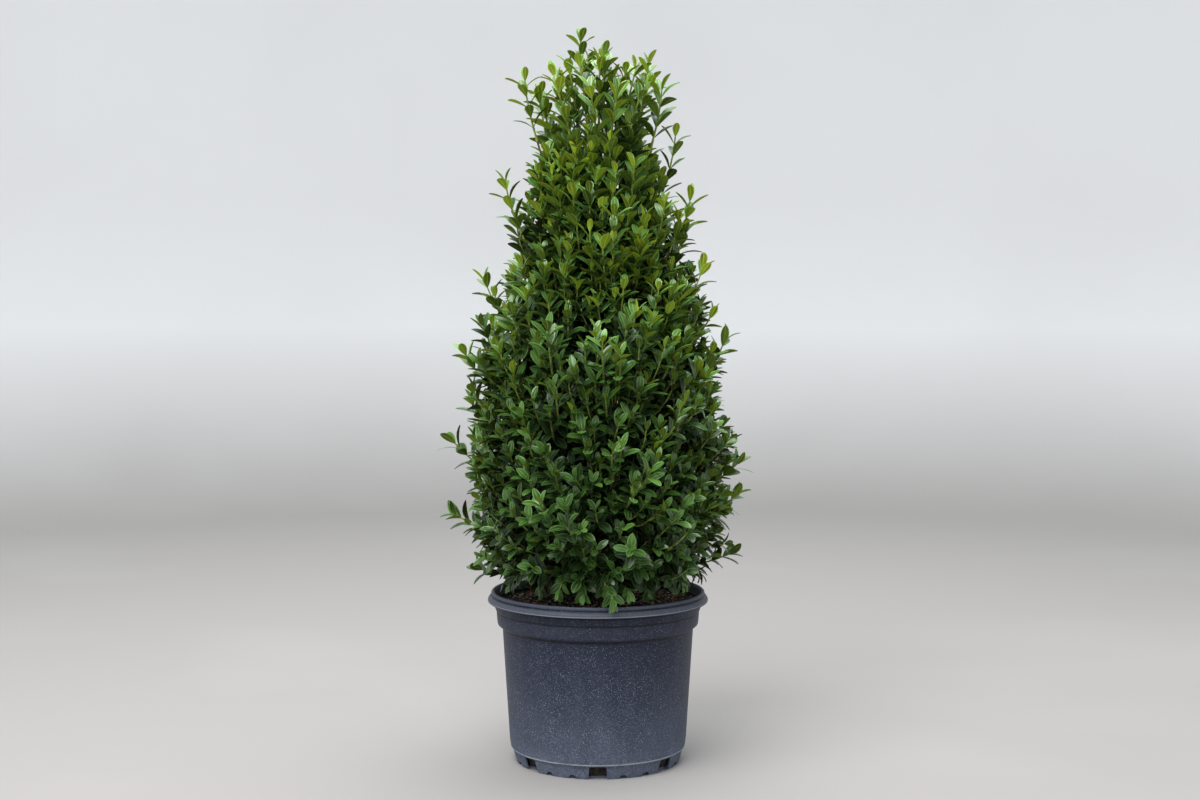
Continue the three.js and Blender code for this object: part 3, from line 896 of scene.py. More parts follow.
@dataclass
class Limbs:
    """The leaning trunk with its root flare, and the staggered boughs, all with bark relief."""

    crown: Crown
    foot: float = 0.2058
    top: float = 0.476
    flare_radius: float = 0.0165
    flare_share: float = 0.1
    flare_lobes: int = 5
    lobe_depth: float = 0.14
    radius: float = 0.0108
    tip_radius: float = 0.0041
    lean: float = 0.003
    lean_back: float = 0.7
    swings: tuple[float, float] = (3.6, 2.8)
    trunk_rings: int = 70
    trunk_sides: int = 28
    trunk_ridges: float = 0.0006
    trunk_seed: int = 11
    bough_share: float = 0.25
    bough_least: float = 0.0018
    bough_tip: float = 0.0025
    bough_drop: float = 0.006
    bough_bend: float = 0.06
    bough_rings: int = 16
    bough_sides: int = 12
    bough_ridges: float = 0.00025
    bough_seed: int = 31
    sag: float = 0.05
    stagger: float = 0.005
    ridge_size: float = 1.3
    ridge_rise: float = 0.16
    ridge_round: float = 2.2
    edge_angle: float = 50

    def share(self, height: float) -> float:
        """Give how far up the trunk a height is."""
        return (height - self.foot) / (self.top - self.foot)

    def flare(self, height: float) -> float:
        """Give how far the trunk is flared at a height: fully at its foot, soon not at all."""
        return fade(self.share(height) / self.flare_share)

    def centre(self, height: float) -> Array:
        """Give the trunk's centre at a height.

        Args:
            height: The height.

        Returns:
            The centre, which sways aside and back.
        """
        share = self.share(height)
        aside, back = self.swings
        x = self.lean * math.sin(share * aside)
        y = self.lean * self.lean_back * (math.cos(share * back) - 1)
        return np.array([x, y, height])

    def thickness(self, height: float) -> float:
        """Give the trunk's radius at a height."""
        plain = self.radius + (self.tip_radius - self.radius) * self.share(height)
        return plain + (self.flare_radius - self.radius) * self.flare(height) ** 2

    def relief(self, rows: int, sides: int, depth: float, seed: int) -> Array:
        """Give the bark's ridges for each ring and side of a limb.

        Args:
            rows: How many rings the limb has.
            sides: How many sides.
            depth: Height of the ridges.
            seed: Seed of the pattern.

        Returns:
            What to add to the radius.
        """
        row = np.arange(rows) * self.ridge_rise
        grid = np.stack(np.meshgrid(row, around(sides), indexing="ij"), -1).reshape(-1, 2)
        along, turn = grid[:, 0], grid[:, 1]
        places = np.stack([along, self.ridge_round * np.cos(turn), self.ridge_round * np.sin(turn)], 1)
        return (depth * (1 - 2 * np.abs(waves(places, self.ridge_size, seed)))).reshape(rows, sides)

    def make_trunk(self, bark: bpy.types.Material) -> None:
        """Build the trunk from its cut on the soil to its tip.

        Args:
            bark: Its material.
        """
        heights = np.linspace(self.foot, self.top, self.trunk_rings)
        centres = np.array([self.centre(z) for z in heights])
        radii = np.array([self.thickness(z) for z in heights])
        flare = np.array([self.flare(z) for z in heights])
        lobes = np.cos(around(self.trunk_sides) * self.flare_lobes)
        relief = self.relief(self.trunk_rings, self.trunk_sides, self.trunk_ridges, self.trunk_seed)
        relief += self.lobe_depth * radii[:, None] * flare[:, None] * lobes[None, :]
        stock = MeshStock()
        stock.add(*tube(centres, radii, self.trunk_sides, relief))
        settle(stock.make("trunk_bark", [bark], self.edge_angle), "bark", "trunk")

    def make_boughs(self, bark: bpy.types.Material) -> None:
        """Build every bough, from inside the trunk's bark to where it enters its mass.

        Args:
            bark: Their material.
        """
        stock = MeshStock()
        for tier in self.crown.tiers:
            for sector in range(tier.masses):
                stock.add(*self.bough(tier, sector))
        settle(stock.make("bough_bark", [bark], self.edge_angle), "bark", *self.crown.bough_nodes())

    def bough(self, tier: Tier, sector: int) -> tuple[Array, Array]:
        """Build one bough.

        Args:
            tier: The tier its mass is in.
            sector: Which mass of the tier it bears.

        Returns:
            Its points and triangles.
        """
        step = (sector * (tier.masses - 2)) % tier.masses
        start = self.centre(tier.root - self.bough_drop + self.stagger * step)
        bearing = tier.bearing(sector)
        bend = self.crown.on_branch(tier.root, bearing, self.crown.bough_end - self.bough_bend)
        end = self.crown.on_branch(tier.root, bearing, self.crown.bough_end)
        share = np.linspace(0, 1, self.bough_rings - 1)
        centres = start + (bend - start) * share[:, None]
        centres[:, 2] -= self.sag * np.linalg.norm(bend - start) * np.sin(math.pi * share)
        centres = np.vstack([centres, end])
        base = self.thickness(start[2]) * self.bough_share + self.bough_least
        radii = np.linspace(base, self.bough_tip, self.bough_rings)
        seed = sector + self.bough_seed
        relief = self.relief(self.bough_rings, self.bough_sides, self.bough_ridges, seed)
        return tube(centres, radii, self.bough_sides, relief)


# ---------------------------------------------------------------- shoots and leaves


@dataclass(frozen=True)
class LeafCut:
    """One cut of leaf: a short stalk and a round-tipped blade, folded at the midrib and curled.

    The blade is a blend of an oval, widest at its middle, and a spoon, widest near its tip.
    """

    width: float
    fold: float
    curl: float
    lift: float
    spoon: float
    rows: tuple[float, ...] = (0.10, 0.25, 0.45, 0.65, 0.83, 0.95)
    oval_widths: tuple[float, ...] = (0.36, 0.76, 1.00, 0.92, 0.62, 0.27)
    spoon_widths: tuple[float, ...] = (0.20, 0.48, 0.83, 1.00, 0.86, 0.48)
    thickness: float = 0.018
    curl_bend: float = 2.2
    first: int = 0
    step: int = 1

    def build(self) -> tuple[Array, Array, Array, Array]:
        """Build the leaf at length one, along +Y with its upper side to +Z.

        Returns:
            Points, triangles, the slot of each triangle and each point's place on the pattern.
        """
        points, spots = [[0.0, 0.0, 0.0]], [[0.5, 0.0]]
        rows = list(zip(self.rows, self.oval_widths, self.spoon_widths))[self.first::self.step]
        for t, oval, spoon in rows:
            half = self.width / 2 * (oval + (spoon - oval) * self.spoon)
            rise = self.lift * math.sin(math.pi * t) - self.curl * t**self.curl_bend
            edge = rise + self.fold * half
            points += [[-half, t, edge], [0.0, t, rise], [half, t, edge]]
            spots += [[0.0, t], [0.5, t], [1.0, t]]
        points.append([0.0, 1.0, -self.curl])
        spots.append([0.5, 1.0])
        tip = len(points) - 1
        under = {3 * k + 2: tip + 1 + k for k in range(len(rows))}
        for middle in under:
            points.append([0.0, points[middle][1], points[middle][2] - self.thickness])
            spots.append(spots[middle])
        upper = [[0, 2, 1], [0, 3, 2]]
        for k in range(len(rows) - 1):
            a, b = 3 * k + 1, 3 * k + 4
            upper += [[a, a + 1, b], [a + 1, b + 1, b], [a + 1, a + 2, b + 1], [a + 2, b + 2, b + 1]]
        last = 3 * len(rows) - 2
        upper += [[last, last + 1, tip], [last + 1, last + 2, tip]]
        lower = [[under.get(c, c) for c in reversed(face)] for face in upper]
        slots = np.repeat([0, 1], len(upper))
        return np.array(points), np.array(upper + lower), slots, np.array(spots)


@dataclass
class LeafStock:
    """Leaves of every tone, gathered as places and frames and then stamped out as joined meshes."""

    cuts: tuple[LeafCut, ...] = (
        LeafCut(0.50, 0.22, 0.14, 0.04, 0.1),
        LeafCut(0.46, 0.30, 0.10, 0.03, 0.3),
        LeafCut(0.43, 0.32, 0.08, 0.03, 0.3),
        LeafCut(0.39, 0.40, 0.04, 0.02, 0.2),
        LeafCut(0.44, -0.10, 0.20, 0.05, 0.4),
        LeafCut(0.46, 0.18, 0.16, 0.05, 0.8),
        LeafCut(0.44, 0.28, 0.12, 0.00, 1.0),
    )
    broad: tuple[int, int] = (0, 2)
    mixed: tuple[int, int] = (1, 6)
    spoons: tuple[int, int] = (5, 7)
    broad_until: float = 0.34
    spoons_from: float = 0.55
    spoons_over: float = 0.3
    most_faces: int = 180_000
    edge_angle: float = 48
    shaded: LeafCut = LeafCut(0.48, 0.18, 0.14, 0.04, 0.7, first=1, step=2)
    batches: dict[tuple[Tone, int], list[tuple[Array, Array]]] = field(default_factory=dict)

    def deal(self, share: float, rng: np.random.Generator) -> int:
        """Deal a leaf its cut: broad low in the crown, slim in its middle and spoon-shaped on top.

        Args:
            share: How high in the crown the leaf grows.
            rng: The random source.

        Returns:
            Which cut it has.
        """
        luck = rng.random()
        if luck < 1 - share / self.broad_until:
            return int(rng.integers(*self.broad))
        if luck < (share - self.spoons_from) / self.spoons_over:
            return int(rng.integers(*self.spoons))
        return int(rng.integers(*self.mixed))

    def add(self, tone: Tone, cut: int, origin: Array, axes: Array) -> None:
        """Take in one leaf.

        Args:
            tone: Its tint.
            cut: Which cut it has, or -1 for the plain cut of the shade.
            origin: Where its stalk starts.
            axes: Its across, along and upward axes, scaled to its size.
        """
        self.batches.setdefault((tone, cut), []).append((origin, axes))

    def make(self, tone: Tone) -> list[bpy.types.Object]:
        """Join all leaves of one tone.

        Args:
            tone: The tone.

        Returns:
            The joined pieces, none of them too heavy.
        """
        pieces, skins = [], tone.skins()
        stock, held = MeshStock(), 0
        for (batch_tone, cut), leaves in self.batches.items():
            if batch_tone is not tone:
                continue
            points, faces, slots, spots = (self.cuts[cut] if cut >= 0 else self.shaded).build()
            if held and held + len(faces) * len(leaves) > self.most_faces:
                pieces.append(stock)
                stock, held = MeshStock(), 0
            origins = np.array([origin for origin, _ in leaves])
            axes = np.array([axes for _, axes in leaves])
            placed = np.einsum("pk,nkc->npc", points, axes) + origins[:, None, :]
            count = len(leaves)
            shift = (np.arange(count) * len(points))[:, None, None]
            stock.add(placed.reshape(-1, 3), (faces[None] + shift).reshape(-1, 3),
                      np.tile(slots, count), np.tile(spots, (count, 1)))
            held += len(faces) * count
        if held:
            pieces.append(stock)
        name = f"leaves_{tone.name.lower()}"
        return [each.make(f"{name}_{k + 1}", skins, self.edge_angle) for k, each in enumerate(pieces)]


@dataclass(frozen=True)
class Habit:
    """The measures that shoots of one kind share; each shoot draws its own from a range.

    The angles, in degrees, are between a leaf and its stem, at the shoot's tip and at its base.
    The tip sizes are those of the youngest two pairs, as shares of the full length of a leaf.
    """

    pairs: int | tuple[int, int]
    pitch: Span
    leaf: Span
    open_tip: Span
    open_base: Span
    straight: float = 0.0
    tip_sizes: tuple[float, float] = (0.68, 0.93)

    def deal(self, rng: np.random.Generator, full: float = 1.0,
             closing: float = 0.0) -> tuple[int, float, float, float, float]:
        """Deal one shoot its leaves.

        Args:
            rng: The random source.
            full: What the length of its leaves is multiplied by.
            closing: How much less, in degrees, they open at its base.

        Returns:
            Its pairs, their pitch, their length, and how far they open at its tip and at its base.
        """
        pairs = int(rng.integers(*self.pairs)) if isinstance(self.pairs, tuple) else self.pairs
        spans = (self.pitch, self.leaf, self.open_tip, self.open_base)
        pitch, leaf, open_tip, open_base = (draw(span, rng) for span in spans)
        return pairs, pitch, full * leaf, open_tip, open_base - closing


@dataclass(frozen=True)
class ShootPlan:
    """What one shoot is to be: its path's four control points, its leaves and its tints."""

    control: Array
    pairs: int
    pitch: float
    leaf: float
    open_tip: float
    open_base: float
    tones: tuple[Tone, Tone, Tone]
    tip_sizes: tuple[float, float]
    droop: float = 0.0


@dataclass
class Path:
    """A shoot's curve, read by the distance along it."""

    points: Array

    def __post_init__(self) -> None:
        """Measure the distance to each point."""
        steps = np.linalg.norm(np.diff(self.points, axis=0), axis=1)
        self.distances = np.concatenate([[0], np.cumsum(steps)])
        self.length = self.distances[-1]

    def at(self, distance: float) -> Array:
        """Give the point at a distance."""
        return np.array([np.interp(distance, self.distances, self.points[:, k]) for k in range(3)])


@dataclass(frozen=True)
class Toning:
    """How light a shoot's leaves are: lighter higher up and darkest at the skirt, partly painted light and
    shade.
    """

    base: float = 1.18
    # rise, top_gain and middle_gain make leaves lighter higher up and in the middle: partly the young
    # growth's own tint, partly painted light from above.
    rise: float = 2.1
    luck: float = 0.7
    top_gain: float = 0.6
    top_from: float = 0.72
    top_over: float = 0.28
    middle_gain: float = 0.5
    middle: float = 0.62
    middle_over: float = 0.25
    # Painted shade: the skirt's leaves are dealt darker tones.
    skirt_loss: float = 1.3
    skirt_over: float = 0.16
    steps: tuple[Tone, ...] = (Tone.PAINTED_SHADE, Tone.DARK, Tone.MATURE, Tone.GREEN, Tone.FRESH, Tone.YOUNG)
    darkest: int = 1
    lightest: int = 4

    def deal(self, share: float, rng: np.random.Generator) -> tuple[Tone, Tone, Tone]:
        """Deal a shoot its tints.

        Args:
            share: How high in the crown the shoot stands.
            rng: The random source.

        Returns:
            The tones of its youngest pairs, its upper pairs and its lower pairs.
        """
        top = self.top_gain * max(0.0, share - self.top_from) / self.top_over
        level = self.base + self.rise * share + top + rng.normal(0, self.luck)
        bulge = self.middle_gain * fade(abs(share - self.middle) / self.middle_over)
        level += bulge - self.skirt_loss * fade(share / self.skirt_over)
        main = int(np.clip(round(level), self.darkest, self.lightest))
        return self.steps[main + 1], self.steps[main], self.steps[max(main - 1, self.darkest)]


@dataclass
class Foliage:
    """Every twig, stem and leaf of the crown, grown from the boughs by one seeded rule.

    A share is how high something stands in the crown, from about 0 at the soil to 1 at the top.
    Leaders and hangers are single shoots listed one by one: leaders by the place of their tips, hangers
    by the bearing in degrees, the radius and the height of theirs.
    """

    crown: Crown
    limbs: Limbs
    toning: Toning = Toning()
    seed: int = 7
    share_from: float = 0.205
    share_over: float = 0.705
    outline_steps: int = 400

    outer: int = 700
    outer_habit: Habit = Habit((5, 8), (0.0085, 0.0130), (0.88, 1.12), (26, 38), (46, 62), straight=0.045)
    outer_top: float = 0.800
    outer_scatter: tuple[float, float] = (0.007, 0.05)
    outer_upturn: tuple[float, float, float] = (-8, 34, 9)
    outer_droop: float = 0.4
    droop_until: float = 0.2
    inset: float = 0.012
    high_inset: float = 0.015
    high_place: tuple[float, float] = (0.69, 0.15)
    low_inset: float = 0.008
    low_place: tuple[float, float] = (0.235, 0.05)
    tip_jitter: float = 0.0065
    ragged: float = 0.12
    ragged_lengths: tuple[float, float] = (0.008, 0.020)
    swell: float = 0.0075
    swell_size: float = 0.085
    leaf_low: float = 0.0197
    leaf_high: float = 0.0292
    leaf_curve: float = 0.6
    closing: float = 14
    closing_from: float = 0.5

    inner: int = 600
    inner_habit: Habit = Habit(5, (0.008, 0.011), (0.023, 0.029), (35, 55), (60, 80), straight=0.03)
    inner_depth: tuple[float, float] = (0.36, 0.84)
    inner_scatter: float = 0.1
    inner_upturn: tuple[float, float] = (12, 14)
    inner_dark: float = 0.5
    inner_old: float = 0.06

    skirt_height: float = 0.246
    skirt_scallop: float = 0.012
    skirt_scallops: int = 4

    crest: int = 21
    crest_habit: Habit = Habit(6, (0.012, 0.0165), (0.0265, 0.0310), (30, 38), (36, 48), 0.09, (0.78, 0.96))
    crest_height: float = 0.886
    crest_top: float = 0.898
    crest_spread: float = 0.080
    crest_fall: float = 0.055
    crest_curve: float = 1.5
    crest_jitter: float = 0.016
    crest_upturn: tuple[float, float] = (6, -14)
    crest_share: float = 0.98

    leader_habit: Habit = Habit(6, (0.0125, 0.0165), (0.0255, 0.0300), 36, 56, 0.06, (0.82, 0.98))
    leader_inset: float = 0.012
    leader_rise: float = 0.3
    leader_upturn: tuple[float, float] = (4, 18)
    leader_lighter: float = 0.15
    leaders: tuple[Triple, ...] = (
        (-0.022, 0.008, 0.921), (0.008, -0.020, 0.900), (0.064, 0.012, 0.890), (-0.092, -0.010, 0.870),
        (-0.048, 0.030, 0.872), (0.080, -0.024, 0.856), (0.030, 0.046, 0.870), (-0.074, 0.034, 0.856),
        (0.099, 0.010, 0.803), (0.118, 0.008, 0.722), (-0.117, -0.012, 0.742), (0.134, -0.014, 0.636),
        (-0.146, 0.010, 0.620), (0.166, 0.016, 0.545), (-0.171, -0.008, 0.527), (-0.189, 0.006, 0.413),
        (0.183, -0.010, 0.387), (0.186, 0.014, 0.345), (-0.189, -0.012, 0.322), (0.178, 0.010, 0.267),
        (-0.156, -0.024, 0.252), (0.020, -0.118, 0.700), (-0.060, -0.158, 0.560), (0.064, -0.176, 0.392),
        (-0.040, -0.186, 0.330), (-0.012, 0.112, 0.760), (0.058, 0.142, 0.600), (-0.070, 0.158, 0.470),
        (0.030, 0.188, 0.350), (0.100, 0.160, 0.420),
    )

    hanger_habit: Habit = Habit(6, (0.008, 0.010), (0.018, 0.021), 42, 66)
    hanger_droop: float = 0.75
    hanger_arch: tuple[float, float] = (0.86, 0.022)
    hanger_shares: tuple[float, float] = (0.04, 0.30)
    hangers: tuple[Triple, ...] = (
        (-83, 0.150, 0.2260), (-86, 0.138, 0.2400), (-99, 0.116, 0.2290), (-71, 0.114, 0.2290),
        (-114, 0.117, 0.2310), (-56, 0.112, 0.2290), (-128, 0.112, 0.2310), (-30, 0.122, 0.2320),
        (-152, 0.122, 0.2320), (8, 0.134, 0.2340), (40, 0.114, 0.2290), (75, 0.136, 0.2330),
        (104, 0.114, 0.2290), (141, 0.134, 0.2340), (186, 0.116, 0.2300),
    )

    hub_shares: tuple[float, float] = (0.43, 0.58)
    hub_rise: float = 0.25
    hub_gap: float = 0.004
    hub_scatter: float = 0.02
    path_share: float = 0.62
    path_pull: float = 0.6
    path_points: int = 25
    steepest: float = 88
    heading_scatter: float = 0.22
    stem_points: int = 6
    stem_sides: int = 4
    stem_radii: tuple[float, float] = (0.052, 0.032)
    twig_radii: tuple[float, float] = (0.0016, 0.0012)
    most_leafy: float = 0.9
    wood_under: float = 0.97
    tip_gap: float = 0.001
    tip_crowding: float = 0.45
    look_back: float = 0.004
    upper_until: float = 0.62
    opening: float = 1.5
    bud_closed: float = 0.6
    open_jitter: float = 7
    leaf_jitter: float = 0.16
    leaf_sizes: tuple[float, float] = (0.92, 1.08)
    leaf_lengths: tuple[float, float] = (0.9, 1.1)
    leaf_widths: tuple[float, float] = (0.9, 1.08)
    facing: float = 0.5
    facing_out: float = 1.8
    stalk_out: float = 0.0004
    edge_angle: float = 60

    def __post_init__(self) -> None:
        """Start the seeded rule and the empty stocks."""
        self.rng = np.random.default_rng(self.seed)
        self.leaves = LeafStock()
        self.green = MeshStock()
        self.brown = MeshStock()

    def share_at(self, height: float) -> float:
        """Give how high in the crown a height is."""
        return (height - self.share_from) / self.share_over

    def surface_places(self, count: int) -> list[Triple]:
        """Spread places evenly over the clipped outline.

        Args:
            count: How many places.

        Returns:
            The height, radius and bearing of each.
        """
        heights = np.linspace(self.skirt_height, self.outer_top, self.outline_steps)
        radii = np.array([self.crown.outline_at(z) for z in heights])
        steps = np.hypot(np.diff(heights), np.diff(radii)) * (radii[1:] + radii[:-1]) / 2
        area = np.concatenate([[0], np.cumsum(steps)])
        wanted = (np.arange(count) + 0.5) / count * area[-1]
        at = np.interp(wanted, area, heights)
        return [(z, float(np.interp(z, heights, radii)), i * GOLDEN_ANGLE) for i, z in enumerate(at)]

    def mass_hub(self, root: float, bearing: float) -> Array:
        """Give the point inside its mass from which a twig springs.

        Args:
            root: Root height of the branch the twig serves.
            bearing: Its bearing.

        Returns:
            A point on the stem that carries on from the mass's bough, or on the leading stem.
        """
        if root >= self.crown.top_from:
            share = (root - self.crown.top_from) / (self.crown.fan_high - self.crown.top_from)
            scatter = self.rng.uniform(-self.hub_scatter, self.hub_scatter)
            return np.array([0.0, 0.0, self.limbs.top + self.hub_gap + share * self.hub_rise + scatter])
        tier = next(t for t in self.crown.tiers if root < t.high)
        sector = round((bearing - math.radians(tier.turn)) / FULL_TURN * tier.masses)
        return self.crown.on_branch(tier.root, tier.bearing(sector), self.rng.uniform(*self.hub_shares))

    def path_to(self, tip: Array, upturn: float, straight: float) -> Array:
        """Lead a twig from its mass's stem out to a tip.

        Args:
            tip: Where the shoot ends.
            upturn: How much steeper than its branch the shoot ends, in radians.
            straight: Length of its straight end.

        Returns:
            Four control points.
        """
        bearing = math.atan2(tip[1], tip[0])
        root = self.crown.root_of(float(np.hypot(tip[0], tip[1])), float(tip[2]))
        hub = self.mass_hub(root, bearing)
        rising = min(self.crown.elevation(root) + upturn, math.radians(self.steepest))
        heading = direction(rising, bearing + self.rng.normal(0, self.heading_scatter))
        along = self.crown.on_branch(root, bearing, self.path_share)
        return np.array([hub, hub + (along - hub) * self.path_pull, tip - heading * straight, tip])

    def inset_at(self, height: float) -> float:
        """Give how far inside the outline the tips end, more so in the upper crown and at the skirt.

        Args:
            height: The tips' height.

        Returns:
            The distance.
        """
        high, high_over = self.high_place
        low, low_over = self.low_place
        inset = self.inset + self.high_inset * fade(((height - high) / high_over) ** 2)
        return inset + self.low_inset * fade((height - low) / low_over)

    def leaf_at(self, share: float) -> float:
        """Give the length of the leaves, the longer the higher they stand."""
        return self.leaf_low + (self.leaf_high - self.leaf_low) * max(share, 0.0) ** self.leaf_curve

    def skirt_at(self, bearing: float) -> float:
        """Give the height of the crown's lower edge, which hangs lowest on four sides."""
        wave = math.cos(self.skirt_scallops * (bearing + math.pi / 2))
        return self.skirt_height - self.skirt_scallop * wave

    def plan_outer(self, height: float, radius: float, bearing: float) -> ShootPlan:
        """Plan one shoot whose tip is about on the outline.

        Args:
            height: About its tip's height.
            radius: The outline's radius there.
            bearing: About its tip's bearing.

        Returns:
            The shoot's plan.
        """
        rng, habit = self.rng, self.outer_habit
        rise_scatter, turn_scatter = self.outer_scatter
        z = max(height + rng.normal(0, rise_scatter), self.skirt_at(bearing))
        turn = bearing + rng.normal(0, turn_scatter)
        spot = np.array([[radius * math.cos(turn), radius * math.sin(turn), z]])
        swell = self.swell * float(waves(spot, self.swell_size, self.seed)[0])
        longer = rng.uniform(*self.ragged_lengths) if rng.random() < self.ragged else 0.0
        out = max(radius - self.inset_at(z) + swell + longer + rng.normal(0, self.tip_jitter), 0.002)
        share = self.share_at(z)
        tip = np.array([out * math.cos(turn), out * math.sin(turn), z])
        low, gain, scatter = self.outer_upturn
        upturn = math.radians(rng.normal(low + gain * min(share * 3, 1), scatter))
        droop = self.outer_droop * fade(share / self.droop_until)
        closing = self.closing * max(0.0, share - self.closing_from) / self.closing_from
        control = self.path_to(tip, upturn, habit.straight)
        leaves = habit.deal(rng, self.leaf_at(share), closing)
        return ShootPlan(control, *leaves, self.toning.deal(share, rng), habit.tip_sizes, droop)

    def plan_inner(self, height: float, radius: float, bearing: float) -> ShootPlan:
        """Plan one shaded shoot inside the crown.

        Args:
            height: Height of the outline outside it.
            radius: The outline's radius there.
            bearing: About its bearing.

        Returns:
            The shoot's plan.
        """
        rng, habit = self.rng, self.inner_habit
        root = self.crown.root_of(radius, height)
        turn = bearing + rng.normal(0, self.inner_scatter)
        tip = self.crown.on_branch(root, turn, rng.uniform(*self.inner_depth))
        tip[2] = max(tip[2], self.skirt_at(bearing))
        control = self.path_to(tip, math.radians(rng.normal(*self.inner_upturn)), habit.straight)
        leaves = habit.deal(rng)
        # Painted shade: the inner shoots' leaves take the dark and near-black tints.
        young = Tone.DARK if rng.random() < self.inner_dark else Tone.PAINTED_SHADE
        old = Tone.OLD if rng.random() < self.inner_old else Tone.PAINTED_SHADE
        return ShootPlan(control, *leaves, (young, Tone.PAINTED_SHADE, old), habit.tip_sizes)

    def plan_leader(self, place: Triple) -> ShootPlan:
        """Plan one long shoot that stands out of the outline.

        Args:
            place: Where its leaves end.

        Returns:
            The shoot's plan.
        """
        rng, habit = self.rng, self.leader_habit
        tip = np.array(place)
        share = self.share_at(tip[2])
        tip -= unit(tip * np.array([1, 1, self.leader_rise + share])) * self.leader_inset
        low, gain = self.leader_upturn
        control = self.path_to(tip, math.radians(low + gain * share), habit.straight)
        leaves = habit.deal(rng, closing=self.closing * share)
        tones = self.toning.deal(min(share + self.leader_lighter, 1), rng)
        return ShootPlan(control, *leaves, tones, habit.tip_sizes)

    def plan_crest(self, bearing: float, spread: float) -> ShootPlan:
        """Plan one tall upright shoot of the open top.

        Args:
            bearing: The side it leans to.
            spread: How far from the axis it ends, as a share of the widest.

        Returns:
            The shoot's plan.
        """
        rng, habit = self.rng, self.crest_habit
        out = self.crest_spread * spread
        fall = self.crest_fall * spread**self.crest_curve
        height = self.crest_height - fall + rng.normal(0, self.crest_jitter)
        tip = np.array([out * math.cos(bearing), out * math.sin(bearing), min(height, self.crest_top)])
        middle, gain = self.crest_upturn
        control = self.path_to(tip, math.radians(middle + gain * spread), habit.straight)
        leaves = habit.deal(rng)
        return ShootPlan(control, *leaves, self.toning.deal(self.crest_share, rng), habit.tip_sizes)

    def plan_hanger(self, bearing: float, radius: float, height: float) -> ShootPlan:
        """Plan one low shoot that hangs over the soil or the pot's rim.

        Args:
            bearing: Bearing of its tip, in degrees.
            radius: Its tip's distance from the axis.
            height: Its tip's height.

        Returns:
            The shoot's plan.
        """
        rng, habit = self.rng, self.hanger_habit
        turn = math.radians(bearing)
        tip = np.array([radius * math.cos(turn), radius * math.sin(turn), height])
        hub = self.mass_hub(self.crown.fan_low, turn)
        arch_out, arch_rise = self.hanger_arch
        arch = np.array([arch_out * tip[0], arch_out * tip[1], height + arch_rise])
        control = np.array([hub, hub + (arch - hub) * self.path_pull, arch, tip])
        leaves = habit.deal(rng)
        tones = self.toning.deal(rng.uniform(*self.hanger_shares), rng)
        return ShootPlan(control, *leaves, tones, habit.tip_sizes, self.hanger_droop)

    def grow(self, plan: ShootPlan) -> None:
        """Grow one shoot: its woody twig, its green stem and its pairs of leaves.

        Args:
            plan: The shoot's plan.
        """
        path = Path(bezier(plan.control, self.path_points))
        total, count, sides = path.length, self.stem_points, self.stem_sides
        leafy = min(plan.pairs * plan.pitch, total * self.most_leafy)
        stem = np.array([path.at(total - leafy * (1 - s)) for s in np.linspace(0, 1, count)])
        wood = np.array([path.at((total - leafy * self.wood_under) * s) for s in np.linspace(0, 1, count)])
        self.green.add(*tube(stem, np.linspace(*self.stem_radii, count) * plan.leaf, sides))
        self.brown.add(*tube(wood, np.linspace(*self.twig_radii, count), sides))
        turn = self.rng.uniform(0, math.pi)
        for pair in range(plan.pairs):
            back = self.tip_gap + plan.pitch * max(pair - self.tip_crowding, 0)
            joint = path.at(total - back)
            along = unit(joint - path.at(total - back - self.look_back))
            self.grow_pair(plan, pair, joint, along, turn + pair * math.pi / 2)

    def grow_pair(self, plan: ShootPlan, pair: int, joint: Array, along: Array, turn: float) -> None:
        """Grow two opposite leaves.

        Args:
            plan: The shoot's plan.
            pair: Which pair it is, counted from the tip.
            joint: Where the leaves leave the stem.
            along: The stem's direction there.
            turn: How far the pair is turned about the stem.
        """
        rng = self.rng
        age = pair / max(plan.pairs - 1, 1)
        size = plan.leaf * (plan.tip_sizes[pair] if pair < 2 else rng.uniform(*self.leaf_sizes))
        angle = plan.open_tip + (plan.open_base - plan.open_tip) * min(age * self.opening, 1)
        tone = plan.tones[0 if pair < 2 else 1 if age < self.upper_until else 2]
        side, other = square_to(along)
        outward = unit(joint * np.array([1, 1, 0]))
        for opposite in (0, math.pi):
            about = turn + opposite + rng.normal(0, self.leaf_jitter)
            out = side * math.cos(about) + other * math.sin(about)
            closed = self.bud_closed if pair == 0 else 1
            opened = math.radians(angle * closed + rng.normal(0, self.open_jitter))
            blade = unit(along * math.cos(opened) + out * math.sin(opened) - UP * plan.droop)
            face = along * math.sin(opened) - out * math.cos(opened)
            face = face + UP * self.facing + outward * self.facing_out * plan.droop
            face = face + rng.normal(0, self.leaf_jitter, 3)
            face = unit(face - blade * (face @ blade))
            length = size * rng.uniform(*self.leaf_lengths)
            across = np.cross(blade, face) * length * rng.uniform(*self.leaf_widths)
            axes = np.stack([across, blade * length, face * length])
            cut = -1 if tone is Tone.PAINTED_SHADE else self.leaves.deal(self.share_at(joint[2]), rng)
            self.leaves.add(tone, cut, joint + out * self.stalk_out, axes)

    def make(self) -> None:
        """Grow the whole crown and join it by kind."""
        for place in self.surface_places(self.inner):
            self.grow(self.plan_inner(*place))
        for place in self.surface_places(self.outer):
            self.grow(self.plan_outer(*place))
        for k in range(self.crest):
            self.grow(self.plan_crest(k * GOLDEN_ANGLE, math.sqrt((k + 0.3) / self.crest)))
        for place in self.leaders:
            self.grow(self.plan_leader(place))
        for place in self.hangers:
            self.grow(self.plan_hanger(*place))
        nodes = self.crown.foliage_nodes()
        for tone in Tone:
            for piece in self.leaves.make(tone):
                settle(piece, "foliage", *nodes)
        stem = StemSkin("green_stem", (0.120, 0.175, 0.022), (0.270, 0.335, 0.055)).make()
        twig = StemSkin("brown_twig", (0.045, 0.034, 0.020), (0.120, 0.095, 0.055), 0.8).make()
        settle(self.green.make("green_stems", [stem], self.edge_angle), "foliage", *nodes)
        settle(self.brown.make("brown_twigs", [twig], self.edge_angle), "bark", *nodes)


# ---------------------------------------------------------------- pot and soil


